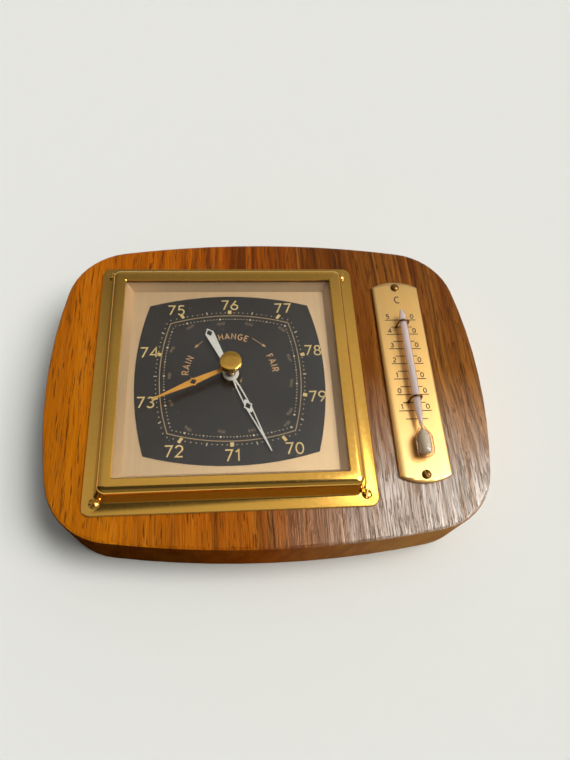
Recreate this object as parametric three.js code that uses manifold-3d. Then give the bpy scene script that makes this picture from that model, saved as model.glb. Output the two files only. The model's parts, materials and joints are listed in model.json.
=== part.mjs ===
// Wall barometer with a thermometer on a teak board.
// Millimetres. +Z is up, the dial faces -Y and the wall is the plane Y = 0.
// The origin is the point where the wall nail carries the hanger plate.
// Pieces are drawn as seen from the front (x right, y up, z out of the wall)
// and one exact axis swap at the end stands the whole thing upright.

import * as THREE from 'three';
import { mergeVertices } from 'three/addons/utils/BufferGeometryUtils.js';
import Module from 'manifold-3d';

const wasm = await Module();
wasm.setup();

const { PI, cos, sin, tan, acos, atan2, hypot, sqrt } = Math;
const DEGREE = PI / 180;

// Clearances

const seatGap = 0.1;       // between faces that lie on each other and are curved or stacked
const pivotGap = 0.05;     // radial play of a pivot in its bearing
const holeGap = 0.15;      // radial play of a screw or a stem in its hole
const recessGap = 0.3;     // around a plate let into the wood
const overcut = 1;         // how far a cutting tool reaches past the material

// Facets in a full circle

const bigRound = 40;
const mediumRound = 24;
const tubeRound = 16;
const smallRound = 12;
const cornerSegments = 6;  // in a quarter turn of a sheet metal corner

// Teak board

const boardWidth = 169;
const boardHeight = 131.2;
const boardDepth = 25;
const boardSideRadius = 207;      // bulge of the left and right sides
const boardTopRadius = 392;       // bulge of the top and bottom
const boardCornerRadius = 26;
const boardFrontRounding = 1.2;
const boardBackRounding = 0.8;
const boardSideSegments = 4;
const boardCornerSegments = 9;
const boardTopSegments = 5;

// Where the two instruments sit on the board

const dialX = -15.2;
const thermometerX = 55.1;

// Brass bezel

const bezelHalf = 52;
const bezelSheet = 0.8;
const bezelCornerRadius = 3.5;
const bezelWallHalf = 47.3;       // foot of the raised wall
const bezelWallCorner = 3.8;
const bezelFootFillet = 0.9;
const bezelEdgeRounding = 0.32;
const bezelShoulderHeight = 2.1;  // rounded shoulder between the wall and the land
const bezelShoulderWidth = 1.35;
const landOuterHalf = 44.9;
const landRoll = 1.3;             // outer part of the land that falls away softly
const landRollDrop = 0.12;
const landOuterCorner = 1.6;
const openingHalf = 41;
const openingCorner = 0.6;
const openingRounding = 0.25;
const bezelScrewAt = 47.6;

// Glass and dial

const glassThickness = 1.3;
const glassHalf = 43.3;
const glassCorner = 2;
const traySheet = 0.5;
const trayFloorHalf = 38.7;
const trayFloorHeight = 2.6;      // board face to the visible floor of the tray
const traySkirtHalf = 43.9;
const traySkirtCorner = 3;
const trayEdgeRounding = 0.4;
const trayRimInset = 0.2;         // how far the rim stays back behind the bezel's opening
const dialSheetThickness = 0.3;
const dialCornerAt = 31.7;        // corners of the black squircle
const dialBulge = 4.5;            // how far its sides bow out between them
const dialHoleRadius = 2.6;

// Indicator hand

const indicatorReading = 70.33;   // cm of mercury shown at rest
const readingAtTop = 76;
const degreesPerCm = 36;
const indicatorTip = 34.6;
const indicatorTail = 21.9;
const indicatorDiamondAt = 15;
const indicatorHubRadius = 3.1;
const indicatorRootHalfWidth = 0.6;
const indicatorSpreadAt = 6.5;    // where the rails stand well apart
const indicatorSpread = 0.9;      // half width of the blade there
const indicatorWaist = 1.15;      // half width of the blade beside the diamond
const indicatorWaistHalfLength = 1;
const indicatorRail = 0.48;       // width of the two rails left beside the windows
const indicatorWindowStart = 0.9; // hub to the inner window
const indicatorWindowPoint = 0.3; // blunt inner point of the outer window
const indicatorWindowEnd = 1.5;   // outer window to the meeting of the rails
const indicatorMeet = 0.66;       // where the rails meet, between the diamond and the tip
const indicatorNeckHalfWidth = 0.42;
const indicatorTipHalfWidth = 0.2;
const indicatorDiamondHalfWidth = 1.75;
const indicatorDiamondHalfLength = 2.2;
const indicatorTailRootHalfWidth = 0.5;
const indicatorTailHalfWidth = 1.75;
const indicatorTailPoint = 2.2;   // length of the tail's point
const indicatorThickness = 0.35;
const indicatorHeight = 1.35;     // black sheet to the underside of the hand
const hubThickness = 0.6;
const colletRadius = 1.5;
const colletGap = 0.5;            // black sheet to the collet under the hand
const diamondWindow = 0.66;       // window of a diamond as a share of the diamond
const tailWindow = 0.72;          // and of the tail's point

// Set hand, knob and the spindle through the glass

const setReading = 72.81;
const setHandTip = 31.3;
const setHandDiamondAt = 15.1;
const setHandThickness = 0.4;
const setHandRootHalfWidth = 0.65;
const setHandHalfWidth = 1.2;     // beside the diamond
const setHandTipHalfWidth = 0.1;
const setHandWaistHalfLength = 0.8;
const setHandDiamondHalfWidth = 1.75;
const setHandDiamondHalfLength = 2.1;
const setHandHubRadius = 3.2;
const setHandHubRise = 1.1;       // blade to the knob
const setHandPipeRadius = 1.8;
const setHandPipeLength = 2.5;
const knobRadius = 4.1;
const knobTopRadius = 3.75;
const knobHeight = 2.9;
const knobRidges = 32;
const knobRidgeDepth = 0.22;
const knobRounding = 0.6;
const knobCrown = 1.2;            // metal left above the spindle's bore
const spindleRadius = 0.9;
const spindleRivetRadius = 1.4;
const spindleRivetThickness = 0.3;
const washerRadius = 2;
const washerThickness = 0.35;
const bushWall = 0.35;
const bushFlangeRadius = 1.9;
const bushFlangeThickness = 0.4;
const bushBevel = 0.15;

// Thermometer

const plateHalfWidth = 9.8;
const plateApex = 44.4;
const plateArcRise = 2.7;
const plateThickness = 1.6;
const plateBevel = 0.5;
const plateBevelWidth = 1.1;
const plateScrewAt = 41.35;
const tubeRadius = 1.5;
const tubeNeckRadius = 0.8;
const tubeNeckTaper = 5;          // from the neck up to the full tube
const tubeTipRadius = 0.75;
const tubeTipTaper = 3;
const tubeBoreRadius = 0.4;
const tubeTop = 27.6;
const bulbRadius = 3.4;
const bulbWall = 0.9;
const bulbTop = -28.4;            // end of its full width
const bulbShoulder = 5;           // from there up to the neck
const bulbBottom = -35.9;
const zeroDegreesAt = -9.1;
const millimetresPerDegree = 0.684;
const shownDegrees = 20;
const clipPlaces = [21.75, -12];
const clipWireRadius = 0.42;
const clipLegDepth = 1.3;
const clipSegments = 8;           // in the half turn over the tube
const wireSides = 8;
const neckLength = 1.6;
const sealLength = 1.4;

// Screws: head radius, head height, shank radius, shank length, slot width and depth

const bezelScrew = { head: 1.85, headHeight: 0.95, shank: 0.9, length: 12, slot: 0.5, slotDepth: 0.5 };
const plateScrew = { head: 1.8, headHeight: 1, shank: 0.9, length: 10, slot: 0.5, slotDepth: 0.5 };
const bridgeScrew = { head: 1.7, headHeight: 0.9, shank: 0.8, length: 7, slot: 0.4, slotDepth: 0.4 };
const flushScrew = { head: 2.6, shank: 1.3, length: 10, slot: 0.7, slotDepth: 0.6 };

// Movement base and its screws

const baseRadius = 41;
const baseLedge = 3;              // ring of wood that the base plate rests on
const movementHoleRadius = baseRadius - baseLedge;
const baseThickness = 1.2;
const baseInset = 0.4;            // how far the base plate lies below the back of the board
const baseScrewInset = 1.6;
const baseScrewAt = baseRadius - baseScrewInset;
const baseScrewAngles = [90, 210, 330];
const ventAngles = [20, 140, 260];
const ventCircleRadius = 30;
const ventRadius = 1.5;

// Aneroid capsule and its adjusting screw

const capsuleRadius = 23;
const capsuleRimGap = 0.6;
const capsuleHalfHeight = 2.3;
const capsuleSkin = 0.35;
const capsuleWaves = 3;
const capsuleWaveHeight = 0.45;
const capsuleCrownRadius = 4.5;   // flat middle that carries the stud or the seat
const capsuleRimWidth = 1.5;
const capsuleFirstWave = 0.6;     // crown to the first wave
const capsuleLastWave = 1.1;      // last wave to the wall
const capsuleShoulderHeight = 0.6;
const capsuleShoulderWidth = 0.1;
const capsuleRound = 20;
const seatRadius = 4.5;
const seatLength = 3;
const seatFloor = 0.4;
const adjusterHeadRadius = 2.4;
const adjusterCollarRadius = 3.6;
const adjusterCollarThickness = 0.6;
const adjusterShankRadius = 1.5;
const adjusterSlot = 0.8;
const adjusterSlotDepth = 0.7;
const adjusterSlotAngle = 34;
const adjusterEndGap = 0.3;       // before the seat and before the end of its thread
const studRadius = 2;
const studFootHeight = 0.6;
const studPinRadius = 0.6;
const studPinHeight = 1.2;
const studPinBevel = 0.2;

// Rocking shaft and its two arms

const shaftRadius = 0.7;
const shaftOffset = 1.6;          // how far the shaft lies beside the capsule's stud
const shaftAboveStud = 1.3;
const armHubRadius = 1.3;
const liftingArmThickness = 0.8;
const liftingArmWidth = 3;
const liftingArmReach = 1.4;      // past the stud's middle
const transferArmWidth = 2.4;
const transferArmThickness = 0.6;
const counterpoiseReach = 2.6;    // weight behind the shaft that balances the transfer arm
const counterpoiseHeight = 2.4;
const counterpoiseWidth = 3.8;
const armToPinGap = 0.3;
const bracketAt = 25.5;
const bracketSheet = 1;
const bracketFoot = 5;
const bracketHalfWidth = 4;
const bracketAboveShaft = 1.8;
const shaftEnd = 0.5;             // how far the shaft stands out of its brackets

// Wheel work

const gearModule = 0.4;
const pinionTeeth = 10;
const sectorFullTeeth = 100;      // teeth of the whole circle that the sector is cut from
const sectorSpareTeeth = 1.5;     // teeth past the swing at each end
const pressureAngle = 20;
const toothAddendum = 0.85;       // in modules
const toothDedendum = 1.2;        // in modules
const toothBacklash = 0.1;
const scaleLow = 70;              // the hand's lowest and highest reading
const scaleHigh = 79;
const sectorThickness = 0.8;
const pinionThickness = 1.6;
const sectorHubRadius = 2.4;
const sectorRim = 1.6;
const sectorWindowMargin = 4;     // degrees between the window and the ends of the sector
const sectorWeb = 3;              // metal between the pin and the window
const sectorPinAt = 3;
const sectorPinRadius = 0.5;
const sectorPinLength = 2.2;
const arborRadius = 0.9;
const pivotRadius = 0.5;
const arborFrontRadius = 0.6;
const pivotEnd = 0.3;             // how far a pivot stands out of its bridge
const transferArmPast = 0.5;      // how far the transfer arm reaches past the pin's middle

// Bridges, pillars and spacers

const bridgeSheet = 1;
const rearBridgeHalfLength = 34;
const rearBridgeTop = 11;
const rearBridgeBottom = -8;
const frontBridgeHalfWidth = 5;
const frontBridgeEndMargin = 3;
const bridgeCorner = 3;
const transferSlotMargin = 0.8;
const transferSlotBottom = -3;
const transferSlotTop = 4.5;
const pillarX = 31;
const pillarY = 8;
const pillarRadius = 2;
const spacerRadius = 1.8;
const rightSpacerX = 11;
const leftSpacerX = -31;
const shaftToRearBridge = 3;
const rearBridgeToHairspring = 0.8;
const hairspringToSector = 1.4;
const sectorToFrontBridge = 1.8;

// Hairspring

const hairspringTurns = 4;
const hairspringInner = 2.3;
const hairspringPitch = 1.3;
const hairspringBand = 0.25;
const hairspringHeight = 1;
const hairspringColletRadius = 1.9;
const hairspringStudRadius = 0.6;

// Hanger

const hangerSlotRadius = 2.4;
const hangerEntryRadius = 4.2;
const hangerEntryDrop = 6.5;      // entry below the nail's seat
const hangerPlateHalfWidth = 17;
const hangerPlateTop = 5;         // plate above the nail
const hangerPlateBottom = 12;     // plate below the nail
const hangerBaseWood = 2;         // wood left between the hanger plate and the base plate
const hangY = baseRadius + hangerBaseWood + hangerPlateBottom;  // nail above the middle of the board
const hangerSheet = 1.2;
const hangerScrewAt = 13;
const hangerPocketHalfWidth = 6;
const hangerPocketDepth = 9;
const hangerPocketMargin = 1.2;
const hangerCorner = 1.7;

// Levels above the wall, worked out from the sizes above

const boardFace = boardDepth;
const bezelFlangeTop = boardFace + bezelSheet;
const trayFloor = boardFace + trayFloorHeight;
const dialFace = trayFloor + dialSheetThickness;
const handBottom = dialFace + indicatorHeight;
const handTop = handBottom + indicatorThickness;
const hubTop = handBottom + hubThickness;
const rivetBottom = hubTop + 2 * seatGap;
const washerBottom = rivetBottom + spindleRivetThickness;
const bushBottom = washerBottom + washerThickness + seatGap;
const glassBottom = bushBottom + seatGap;
const glassTop = glassBottom + glassThickness;
const trayRim = glassBottom - seatGap;
const bushTop = glassTop + bushFlangeThickness;
const bezelTop = glassTop + seatGap + bezelSheet;
const setHandBottom = bushTop + seatGap + setHandPipeLength;
const setHandTop = setHandBottom + setHandThickness;
const knobBottom = setHandTop + setHandHubRise;
const knobTop = knobBottom + knobHeight;
const plateTop = boardFace + plateThickness;
const tubeAxis = plateTop + seatGap + bulbRadius;

const baseTop = baseInset + baseThickness;
const collarTop = baseTop + seatGap + adjusterCollarThickness;
const seatBottom = collarTop + adjusterEndGap;
const capsuleBack = seatBottom + seatLength;
const capsuleMiddle = capsuleBack + capsuleHalfHeight;
const capsuleFront = capsuleMiddle + capsuleHalfHeight;
const studTop = capsuleFront + studFootHeight + studPinHeight;
const shaftLevel = studTop + shaftAboveStud;
const rearBridgeBack = shaftLevel + shaftToRearBridge;
const rearBridgeFront = rearBridgeBack + bridgeSheet;
const hairspringBack = rearBridgeFront + rearBridgeToHairspring;
const hairspringFront = hairspringBack + hairspringHeight;
const sectorBack = hairspringFront + hairspringToSector;
const sectorFront = sectorBack + sectorThickness;
const frontBridgeBack = sectorFront + sectorToFrontBridge;
const frontBridgeFront = frontBridgeBack + bridgeSheet;

// Wheel sizes and swings, worked out from the scale

const pinionPitchRadius = gearModule * pinionTeeth / 2;
const sectorPitchRadius = gearModule * sectorFullTeeth / 2;
const wheelDistance = pinionPitchRadius + sectorPitchRadius;
const sectorX = -wheelDistance;
const gearRatio = sectorFullTeeth / pinionTeeth;
const swingUp = (scaleHigh - indicatorReading) * degreesPerCm / gearRatio;
const swingDown = (indicatorReading - scaleLow) * degreesPerCm / gearRatio;
const middleOfSwing = (swingUp - swingDown) / 2;
const transferPinLevel = sectorBack - sectorPinLength * 0.6;
const spacerScrew = { ...bridgeScrew, length: frontBridgeFront - rearBridgeBack + pivotEnd };

// Finishes

const finish = (color, roughness, metalness) => (
  new THREE.MeshStandardMaterial({ color, roughness, metalness })
);
const teak = () => finish(0x8a4a14, 0.55, 0);
const brass = () => finish(0xc9a24a, 0.28, 1);
const bronze = () => finish(0x7a5426, 0.4, 1);
const steel = () => finish(0x9a9a98, 0.4, 1);
const champagne = () => finish(0xcdb18a, 0.45, 0.8);
const blackDial = () => finish(0x2e2a24, 0.5, 0.2);
const whitePaint = () => finish(0xe8e4d8, 0.5, 0);
const goldPaint = () => finish(0xc88a3a, 0.4, 0.6);
const clearGlass = () => finish(0xdfe6ea, 0.05, 0);
const greyFluid = () => finish(0x8a8a90, 0.3, 0.4);
const silver = () => finish(0xb8b4a8, 0.35, 1);

// Geometry helpers

function tidy(geometry) {
  const bare = geometry.clone();
  bare.deleteAttribute('normal');
  bare.deleteAttribute('uv');
  const merged = mergeVertices(bare, 1e-5);
  const position = merged.attributes.position;
  const index = merged.index.array;
  const kept = [];
  let volume = 0;
  const a = new THREE.Vector3();
  const b = new THREE.Vector3();
  const c = new THREE.Vector3();
  for (let i = 0; i < index.length; i += 3) {
    const [p, q, r] = [index[i], index[i + 1], index[i + 2]];
    if (p === q || q === r || r === p) continue;
    kept.push(p, q, r);
    a.fromBufferAttribute(position, p);
    b.fromBufferAttribute(position, q);
    c.fromBufferAttribute(position, r);
    volume += a.dot(b.cross(c));
  }
  if (volume < 0) {
    for (let i = 0; i < kept.length; i += 3) [kept[i + 1], kept[i + 2]] = [kept[i + 2], kept[i + 1]];
  }
  merged.setIndex(kept);
  return merged;
}

function toSolid(geometry) {
  const closed = tidy(geometry);
  return new wasm.Manifold(new wasm.Mesh({
    numProp: 3,
    vertProperties: Float32Array.from(closed.attributes.position.array),
    triVerts: Uint32Array.from(closed.index.array),
  }));
}

function toGeometry(solid) {
  const mesh = solid.getMesh();
  const geometry = new THREE.BufferGeometry();
  geometry.setAttribute('position', new THREE.BufferAttribute(mesh.vertProperties, 3));
  geometry.setIndex(new THREE.BufferAttribute(mesh.triVerts, 1));
  return geometry;
}

function cut(body, ...tools) {
  let result = toSolid(body);
  for (const tool of tools) result = result.subtract(toSolid(tool));
  return toGeometry(result);
}

function join(...bodies) {
  let result = toSolid(bodies[0]);
  for (const body of bodies.slice(1)) result = result.add(toSolid(body));
  return toGeometry(result);
}

// A flat shape between two levels, with twice the given segments in each of its arcs

function slab(shape, bottom, top, arcSegments = smallRound / 2) {
  const options = { depth: 1, bevelEnabled: false, curveSegments: arcSegments };
  const geometry = new THREE.ExtrudeGeometry(shape, options);
  const position = geometry.attributes.position;
  for (let i = 0; i < position.count; i++) position.setZ(i, position.getZ(i) > 0.5 ? top : bottom);
  return geometry;
}

function circle(radius, x = 0, y = 0, Kind = THREE.Shape) {
  return new Kind().absarc(x, y, radius, 0, 2 * PI);
}

function disc(radius, bottom, top, x = 0, y = 0, segments = mediumRound) {
  return slab(circle(radius, x, y), bottom, top, segments / 2);
}

function ringDisc(outer, inner, bottom, top, x = 0, y = 0, segments = mediumRound) {
  const shape = circle(outer, x, y);
  shape.holes.push(circle(inner, x, y, THREE.Path));
  return slab(shape, bottom, top, segments / 2);
}

function rectangle(x0, y0, x1, y1, radius = 0) {
  if (radius === 0) {
    return new THREE.Shape().moveTo(x0, y0).lineTo(x1, y0).lineTo(x1, y1).lineTo(x0, y1);
  }
  const r = radius;
  return new THREE.Shape([
    ...arcPoints(x1 - r, y0 + r, r, -PI / 2, 0, smallRound / 4),
    ...arcPoints(x1 - r, y1 - r, r, 0, PI / 2, smallRound / 4),
    ...arcPoints(x0 + r, y1 - r, r, PI / 2, PI, smallRound / 4),
    ...arcPoints(x0 + r, y0 + r, r, PI, 1.5 * PI, smallRound / 4),
  ]);
}

// A profile [radius, level] turned about the z axis

function turned(profile, segments = mediumRound) {
  const points = profile.map(([radius, level]) => new THREE.Vector2(radius, level));
  return tidy(new THREE.LatheGeometry(points, segments)).rotateX(PI / 2);
}

// Rings of equally many points, joined in order; an open stack gets flat ends

function loft(rings, closed) {
  const count = rings[0].points.length;
  const positions = [];
  for (const { points, level } of rings) {
    for (const { x, y } of points) positions.push(x, y, level);
  }
  const index = [];
  const last = closed ? rings.length : rings.length - 1;
  for (let i = 0; i < last; i++) {
    const low = i * count;
    const high = ((i + 1) % rings.length) * count;
    for (let j = 0; j < count; j++) {
      const k = (j + 1) % count;
      index.push(low + j, low + k, high + k);
      index.push(low + j, high + k, high + j);
    }
  }
  if (!closed) {
    const top = (rings.length - 1) * count;
    for (const [a, b, c] of THREE.ShapeUtils.triangulateShape(rings[0].points, [])) index.push(c, b, a);
    for (const [a, b, c] of THREE.ShapeUtils.triangulateShape(rings.at(-1).points, [])) {
      index.push(top + a, top + b, top + c);
    }
  }
  const geometry = new THREE.BufferGeometry();
  geometry.setAttribute('position', new THREE.Float32BufferAttribute(positions, 3));
  geometry.setIndex(index);
  return geometry;
}

const polar = (radius, angle) => new THREE.Vector2(radius * cos(angle), radius * sin(angle));

function arcPoints(x, y, radius, from, to, segments) {
  const points = [];
  for (let i = 0; i <= segments; i++) {
    const angle = from + (to - from) * i / segments;
    points.push(new THREE.Vector2(x + radius * cos(angle), y + radius * sin(angle)));
  }
  return points;
}

function roundedSquare(half, corner, level) {
  const c = half - corner;
  const points = [
    ...arcPoints(c, c, corner, 0, PI / 2, cornerSegments),
    ...arcPoints(-c, c, corner, PI / 2, PI, cornerSegments),
    ...arcPoints(-c, -c, corner, PI, 1.5 * PI, cornerSegments),
    ...arcPoints(c, -c, corner, 1.5 * PI, 2 * PI, cornerSegments),
  ];
  return { points, level };
}

function mirrored(points, flipX, flipY) {
  const out = points.map((p) => new THREE.Vector2(flipX ? -p.x : p.x, flipY ? -p.y : p.y));
  return flipX !== flipY ? out.reverse() : out;
}

// Screws

function slotCutter(radius, width, bottom, top, angle) {
  const reach = radius + overcut;
  return slab(rectangle(-reach, -width / 2, reach, width / 2), bottom, top).rotateZ(angle * DEGREE);
}

function domedScrew(screw, seat, angle) {
  const edge = 0.3;
  const top = seat + screw.headHeight;
  const profile = [[0, seat - screw.length], [screw.shank, seat - screw.length + screw.shank * 1.5]];
  profile.push([screw.shank, seat], [screw.head, seat], [screw.head, seat + screw.headHeight * edge]);
  for (const t of [0.35, 0.7]) {
    const rise = edge + (1 - edge) * sin(t * PI / 2);
    profile.push([screw.head * cos(t * PI / 2), seat + screw.headHeight * rise]);
  }
  profile.push([0, top]);
  return cut(turned(profile, smallRound),
    slotCutter(screw.head, screw.slot, top - screw.slotDepth, top + overcut, angle));
}

// A countersunk screw driven forward from the back, its flat head at the given level

function flushScrewBody(screw, level, angle) {
  const cone = screw.head - screw.shank;
  const profile = [[0, level], [screw.head, level], [screw.shank, level + cone]];
  profile.push([screw.shank, level + screw.length - screw.shank], [0, level + screw.length]);
  return cut(turned(profile, smallRound),
    slotCutter(screw.head, screw.slot, level - overcut, level + screw.slotDepth, angle));
}

function flushScrewHole(screw, level, x, y) {
  const cone = screw.head - screw.shank;
  const end = level + screw.length + overcut;
  const head = screw.head + holeGap;
  const shank = screw.shank + holeGap;
  const profile = [[0, level - overcut], [head, level - overcut], [head, level]];
  profile.push([shank, level + cone], [shank, end], [0, end]);
  return turned(profile, smallRound).translate(x, y, 0);
}

function pilotHole(screw, seat, x, y) {
  return disc(screw.shank + holeGap, seat - screw.length - overcut, seat + overcut, x, y, smallRound);
}

// The model tree

const barometer = new THREE.Group();
const front = new THREE.Group();
front.matrixAutoUpdate = false;
front.matrix.set(1, 0, 0, 0, 0, 0, -1, 0, 0, 1, 0, -hangY, 0, 0, 0, 1);
barometer.add(front);
const instrument = new THREE.Group();
instrument.position.x = dialX;
const thermometer = new THREE.Group();
thermometer.position.x = thermometerX;
front.add(instrument, thermometer);

function piece(parent, name, geometry, material, x = 0, y = 0) {
  const mesh = new THREE.Mesh(tidy(geometry), material);
  mesh.name = name;
  mesh.position.set(x, y, 0);
  parent.add(mesh);
  return mesh;
}

// Board

function boardOutline(inset, level) {
  const halfWidth = boardWidth / 2 - inset;
  const halfHeight = boardHeight / 2 - inset;
  const sideRadius = boardSideRadius - inset;
  const topRadius = boardTopRadius - inset;
  const corner = boardCornerRadius - inset;
  const topCentre = halfHeight - topRadius;
  const sideCentre = halfWidth - sideRadius;
  // the corner's centre lies at known distances from the centres of both big arcs
  const toTop = topRadius - corner;
  const toSide = sideRadius - corner;
  const apart = hypot(sideCentre, topCentre);
  const along = (toTop ** 2 - toSide ** 2 + apart ** 2) / (2 * apart);
  const aside = sqrt(toTop ** 2 - along ** 2);
  const ux = sideCentre / apart;
  const uy = -topCentre / apart;
  const x = ux * along + uy * aside;
  const y = topCentre + uy * along - ux * aside;
  const fromSide = atan2(y, x - sideCentre);
  const fromTop = atan2(y - topCentre, x);
  const quarter = [
    ...arcPoints(sideCentre, 0, sideRadius, 0, fromSide, boardSideSegments),
    ...arcPoints(x, y, corner, fromSide, fromTop, boardCornerSegments).slice(1),
    ...arcPoints(0, topCentre, topRadius, fromTop, PI / 2, boardTopSegments).slice(1),
  ];
  const points = [
    ...quarter,
    ...mirrored(quarter, true, false).slice(1),
    ...mirrored(quarter, true, true).slice(1),
    ...mirrored(quarter, false, true).slice(1, -1),
  ];
  return { points, level };
}

function caseBoard() {
  const back = boardBackRounding;
  const round = boardFrontRounding;
  const rings = [boardOutline(back, 0), boardOutline(0, back)];
  for (const t of [0, 0.5, 1]) {
    const inset = round * (1 - cos(t * PI / 2));
    rings.push(boardOutline(inset, boardFace - round * (1 - sin(t * PI / 2))));
  }
  const tools = [
    disc(movementHoleRadius, -overcut, boardFace + overcut, dialX, 0, bigRound),
    disc(baseRadius + recessGap, -overcut, baseTop, dialX, 0, bigRound),
  ];
  for (const sx of [-1, 1]) {
    for (const sy of [-1, 1]) {
      tools.push(pilotHole(bezelScrew, bezelFlangeTop, dialX + sx * bezelScrewAt, sy * bezelScrewAt));
    }
    tools.push(pilotHole(plateScrew, plateTop, thermometerX, sx * plateScrewAt));
    tools.push(flushScrewHole(flushScrew, 0, sx * hangerScrewAt, hangerScrewY));
  }
  for (const angle of baseScrewAngles) {
    const x = dialX + baseScrewAt * cos(angle * DEGREE);
    tools.push(flushScrewHole(flushScrew, baseInset, x, baseScrewAt * sin(angle * DEGREE)));
  }
  tools.push(slab(hangerRecess(), -overcut, hangerSheet + seatGap));
  tools.push(slab(hangerPocket(), -overcut, hangerPocketDepth));
  return cut(loft(rings, false), ...tools);
}

// Hanger

const hangerScrewY = hangY + (hangerPlateTop - hangerPlateBottom) / 2;

function hangerRecess() {
  const gap = recessGap;
  return rectangle(-hangerPlateHalfWidth - gap, hangY - hangerPlateBottom - gap,
    hangerPlateHalfWidth + gap, hangY + hangerPlateTop + gap, hangerCorner + gap);
}

function hangerPocket() {
  return rectangle(-hangerPocketHalfWidth, hangY - hangerPlateBottom + hangerPocketMargin,
    hangerPocketHalfWidth, hangY + hangerPlateTop - hangerPocketMargin, hangerCorner);
}

function hangerPlate() {
  const blank = slab(rectangle(-hangerPlateHalfWidth, hangY - hangerPlateBottom,
    hangerPlateHalfWidth, hangY + hangerPlateTop, hangerCorner), 0, hangerSheet);
  const entryY = hangY - hangerEntryDrop;
  const top = hangerSheet + overcut;
  const slot = rectangle(-hangerSlotRadius, entryY, hangerSlotRadius, hangY);
  const screws = [-1, 1].map((s) => flushScrewHole(flushScrew, 0, s * hangerScrewAt, hangerScrewY));
  return cut(blank, slab(slot, -overcut, top), disc(hangerSlotRadius, -overcut, top, 0, hangY),
    disc(hangerEntryRadius, -overcut, top, 0, entryY), ...screws);
}

piece(front, 'case_board', caseBoard(), teak());
piece(front, 'hanger_plate', hangerPlate(), steel());
for (const [i, s] of [-1, 1].entries()) {
  piece(front, `hanger_screw_${i + 1}`, flushScrewBody(flushScrew, 0, 30 + 50 * i), steel(),
    s * hangerScrewAt, hangerScrewY);
}

// Bezel, glass and dial

function bezelFrame() {
  const t = bezelSheet;
  const foot = bezelFootFillet;
  const edge = bezelEdgeRounding;
  const shoulder = bezelTop - bezelShoulderHeight;
  const out = bezelShoulderWidth;
  const profile = [
    [bezelHalf, bezelCornerRadius, boardFace],
    [bezelHalf, bezelCornerRadius, bezelFlangeTop - edge],
    [bezelHalf - edge, bezelCornerRadius - edge, bezelFlangeTop],
    [bezelWallHalf + foot, bezelWallCorner + foot, bezelFlangeTop],
    [bezelWallHalf + foot * 0.25, bezelWallCorner + foot * 0.25, bezelFlangeTop + foot * 0.35],
    [bezelWallHalf - foot * 0.15, bezelWallCorner - foot * 0.1, bezelFlangeTop + foot * 1.1],
    [landOuterHalf + out, landOuterCorner + out * 1.25, shoulder],
    [landOuterHalf + out * 0.75, landOuterCorner + out * 0.8, bezelTop - bezelShoulderHeight * 0.52],
    [landOuterHalf + out * 0.37, landOuterCorner + out * 0.37, bezelTop - bezelShoulderHeight * 0.2],
    [landOuterHalf - out * 0.15, landOuterCorner, bezelTop - landRollDrop],
    [landOuterHalf - landRoll, landOuterCorner * 0.5, bezelTop],
    [openingHalf + openingRounding, openingCorner, bezelTop],
    [openingHalf, openingCorner, bezelTop - openingRounding],
    [openingHalf, openingCorner, bezelTop - t],
    [landOuterHalf + out * 0.75 - t * 2, landOuterCorner - t * 0.2, bezelTop - t],
    [landOuterHalf + out - t * 1.3, landOuterCorner + t, shoulder],
    [bezelWallHalf - t * 1.5, bezelWallCorner - t, bezelFlangeTop],
    [bezelWallHalf - t * 1.5, bezelWallCorner - t, boardFace],
  ];
  const holes = [];
  for (const sx of [-1, 1]) {
    for (const sy of [-1, 1]) {
      const x = sx * bezelScrewAt;
      const y = sy * bezelScrewAt;
      holes.push(disc(bezelScrew.shank + holeGap, boardFace - overcut, bezelFlangeTop + overcut,
        x, y, smallRound));
      holes.push(disc(bezelScrew.head + holeGap, bezelFlangeTop,
        bezelFlangeTop + bezelScrew.headHeight + overcut, x, y, smallRound));
    }
  }
  const rings = profile.map(([half, corner, level]) => roundedSquare(half, corner, level));
  return cut(loft(rings, true), ...holes);
}

function dialTray() {
  const t = traySheet;
  const edge = trayEdgeRounding;
  const rimInner = openingHalf + trayRimInset;
  const slope = atan2(trayRim - trayFloor, rimInner - trayFloorHalf);
  const bend = t * tan(slope / 2);
  const hole = dialHoleRadius;
  const corner = 0.5;
  const rings = [
    roundedSquare(traySkirtHalf, traySkirtCorner, boardFace),
    roundedSquare(traySkirtHalf, traySkirtCorner, trayRim - edge),
    roundedSquare(traySkirtHalf - edge, traySkirtCorner - edge, trayRim),
    roundedSquare(rimInner, corner, trayRim),
    roundedSquare(trayFloorHalf, corner, trayFloor),
    roundedSquare(hole, hole, trayFloor),
    roundedSquare(hole, hole, trayFloor - t),
    roundedSquare(trayFloorHalf + bend, corner + bend, trayFloor - t),
    roundedSquare(rimInner + bend, corner + bend, trayRim - t),
    roundedSquare(traySkirtHalf - t - edge / 2, traySkirtCorner - t - edge / 2, trayRim - t),
    roundedSquare(traySkirtHalf - t, traySkirtCorner - t, trayRim - t - edge / 2),
    roundedSquare(traySkirtHalf - t, traySkirtCorner - t, boardFace),
  ];
  return loft(rings, true);
}

// Four equal arcs through the corners of a square

function squircle(cornerAt, bulge, segments = 12) {
  const radius = (cornerAt ** 2 + bulge ** 2) / (2 * bulge);
  const centre = cornerAt + bulge - radius;
  const half = atan2(cornerAt, cornerAt - centre);
  const points = [];
  for (let side = 0; side < 4; side++) {
    const turn = side * PI / 2;
    const x = centre * cos(turn);
    const y = centre * sin(turn);
    points.push(...arcPoints(x, y, radius, turn - half, turn + half, segments).slice(1));
  }
  return new THREE.Shape(points);
}

function dialSheet() {
  const shape = squircle(dialCornerAt, dialBulge);
  shape.holes.push(circle(dialHoleRadius, 0, 0, THREE.Path));
  return slab(shape, trayFloor, dialFace, mediumRound / 2);
}

const bushRadius = spindleRadius + holeGap + bushWall;

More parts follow.
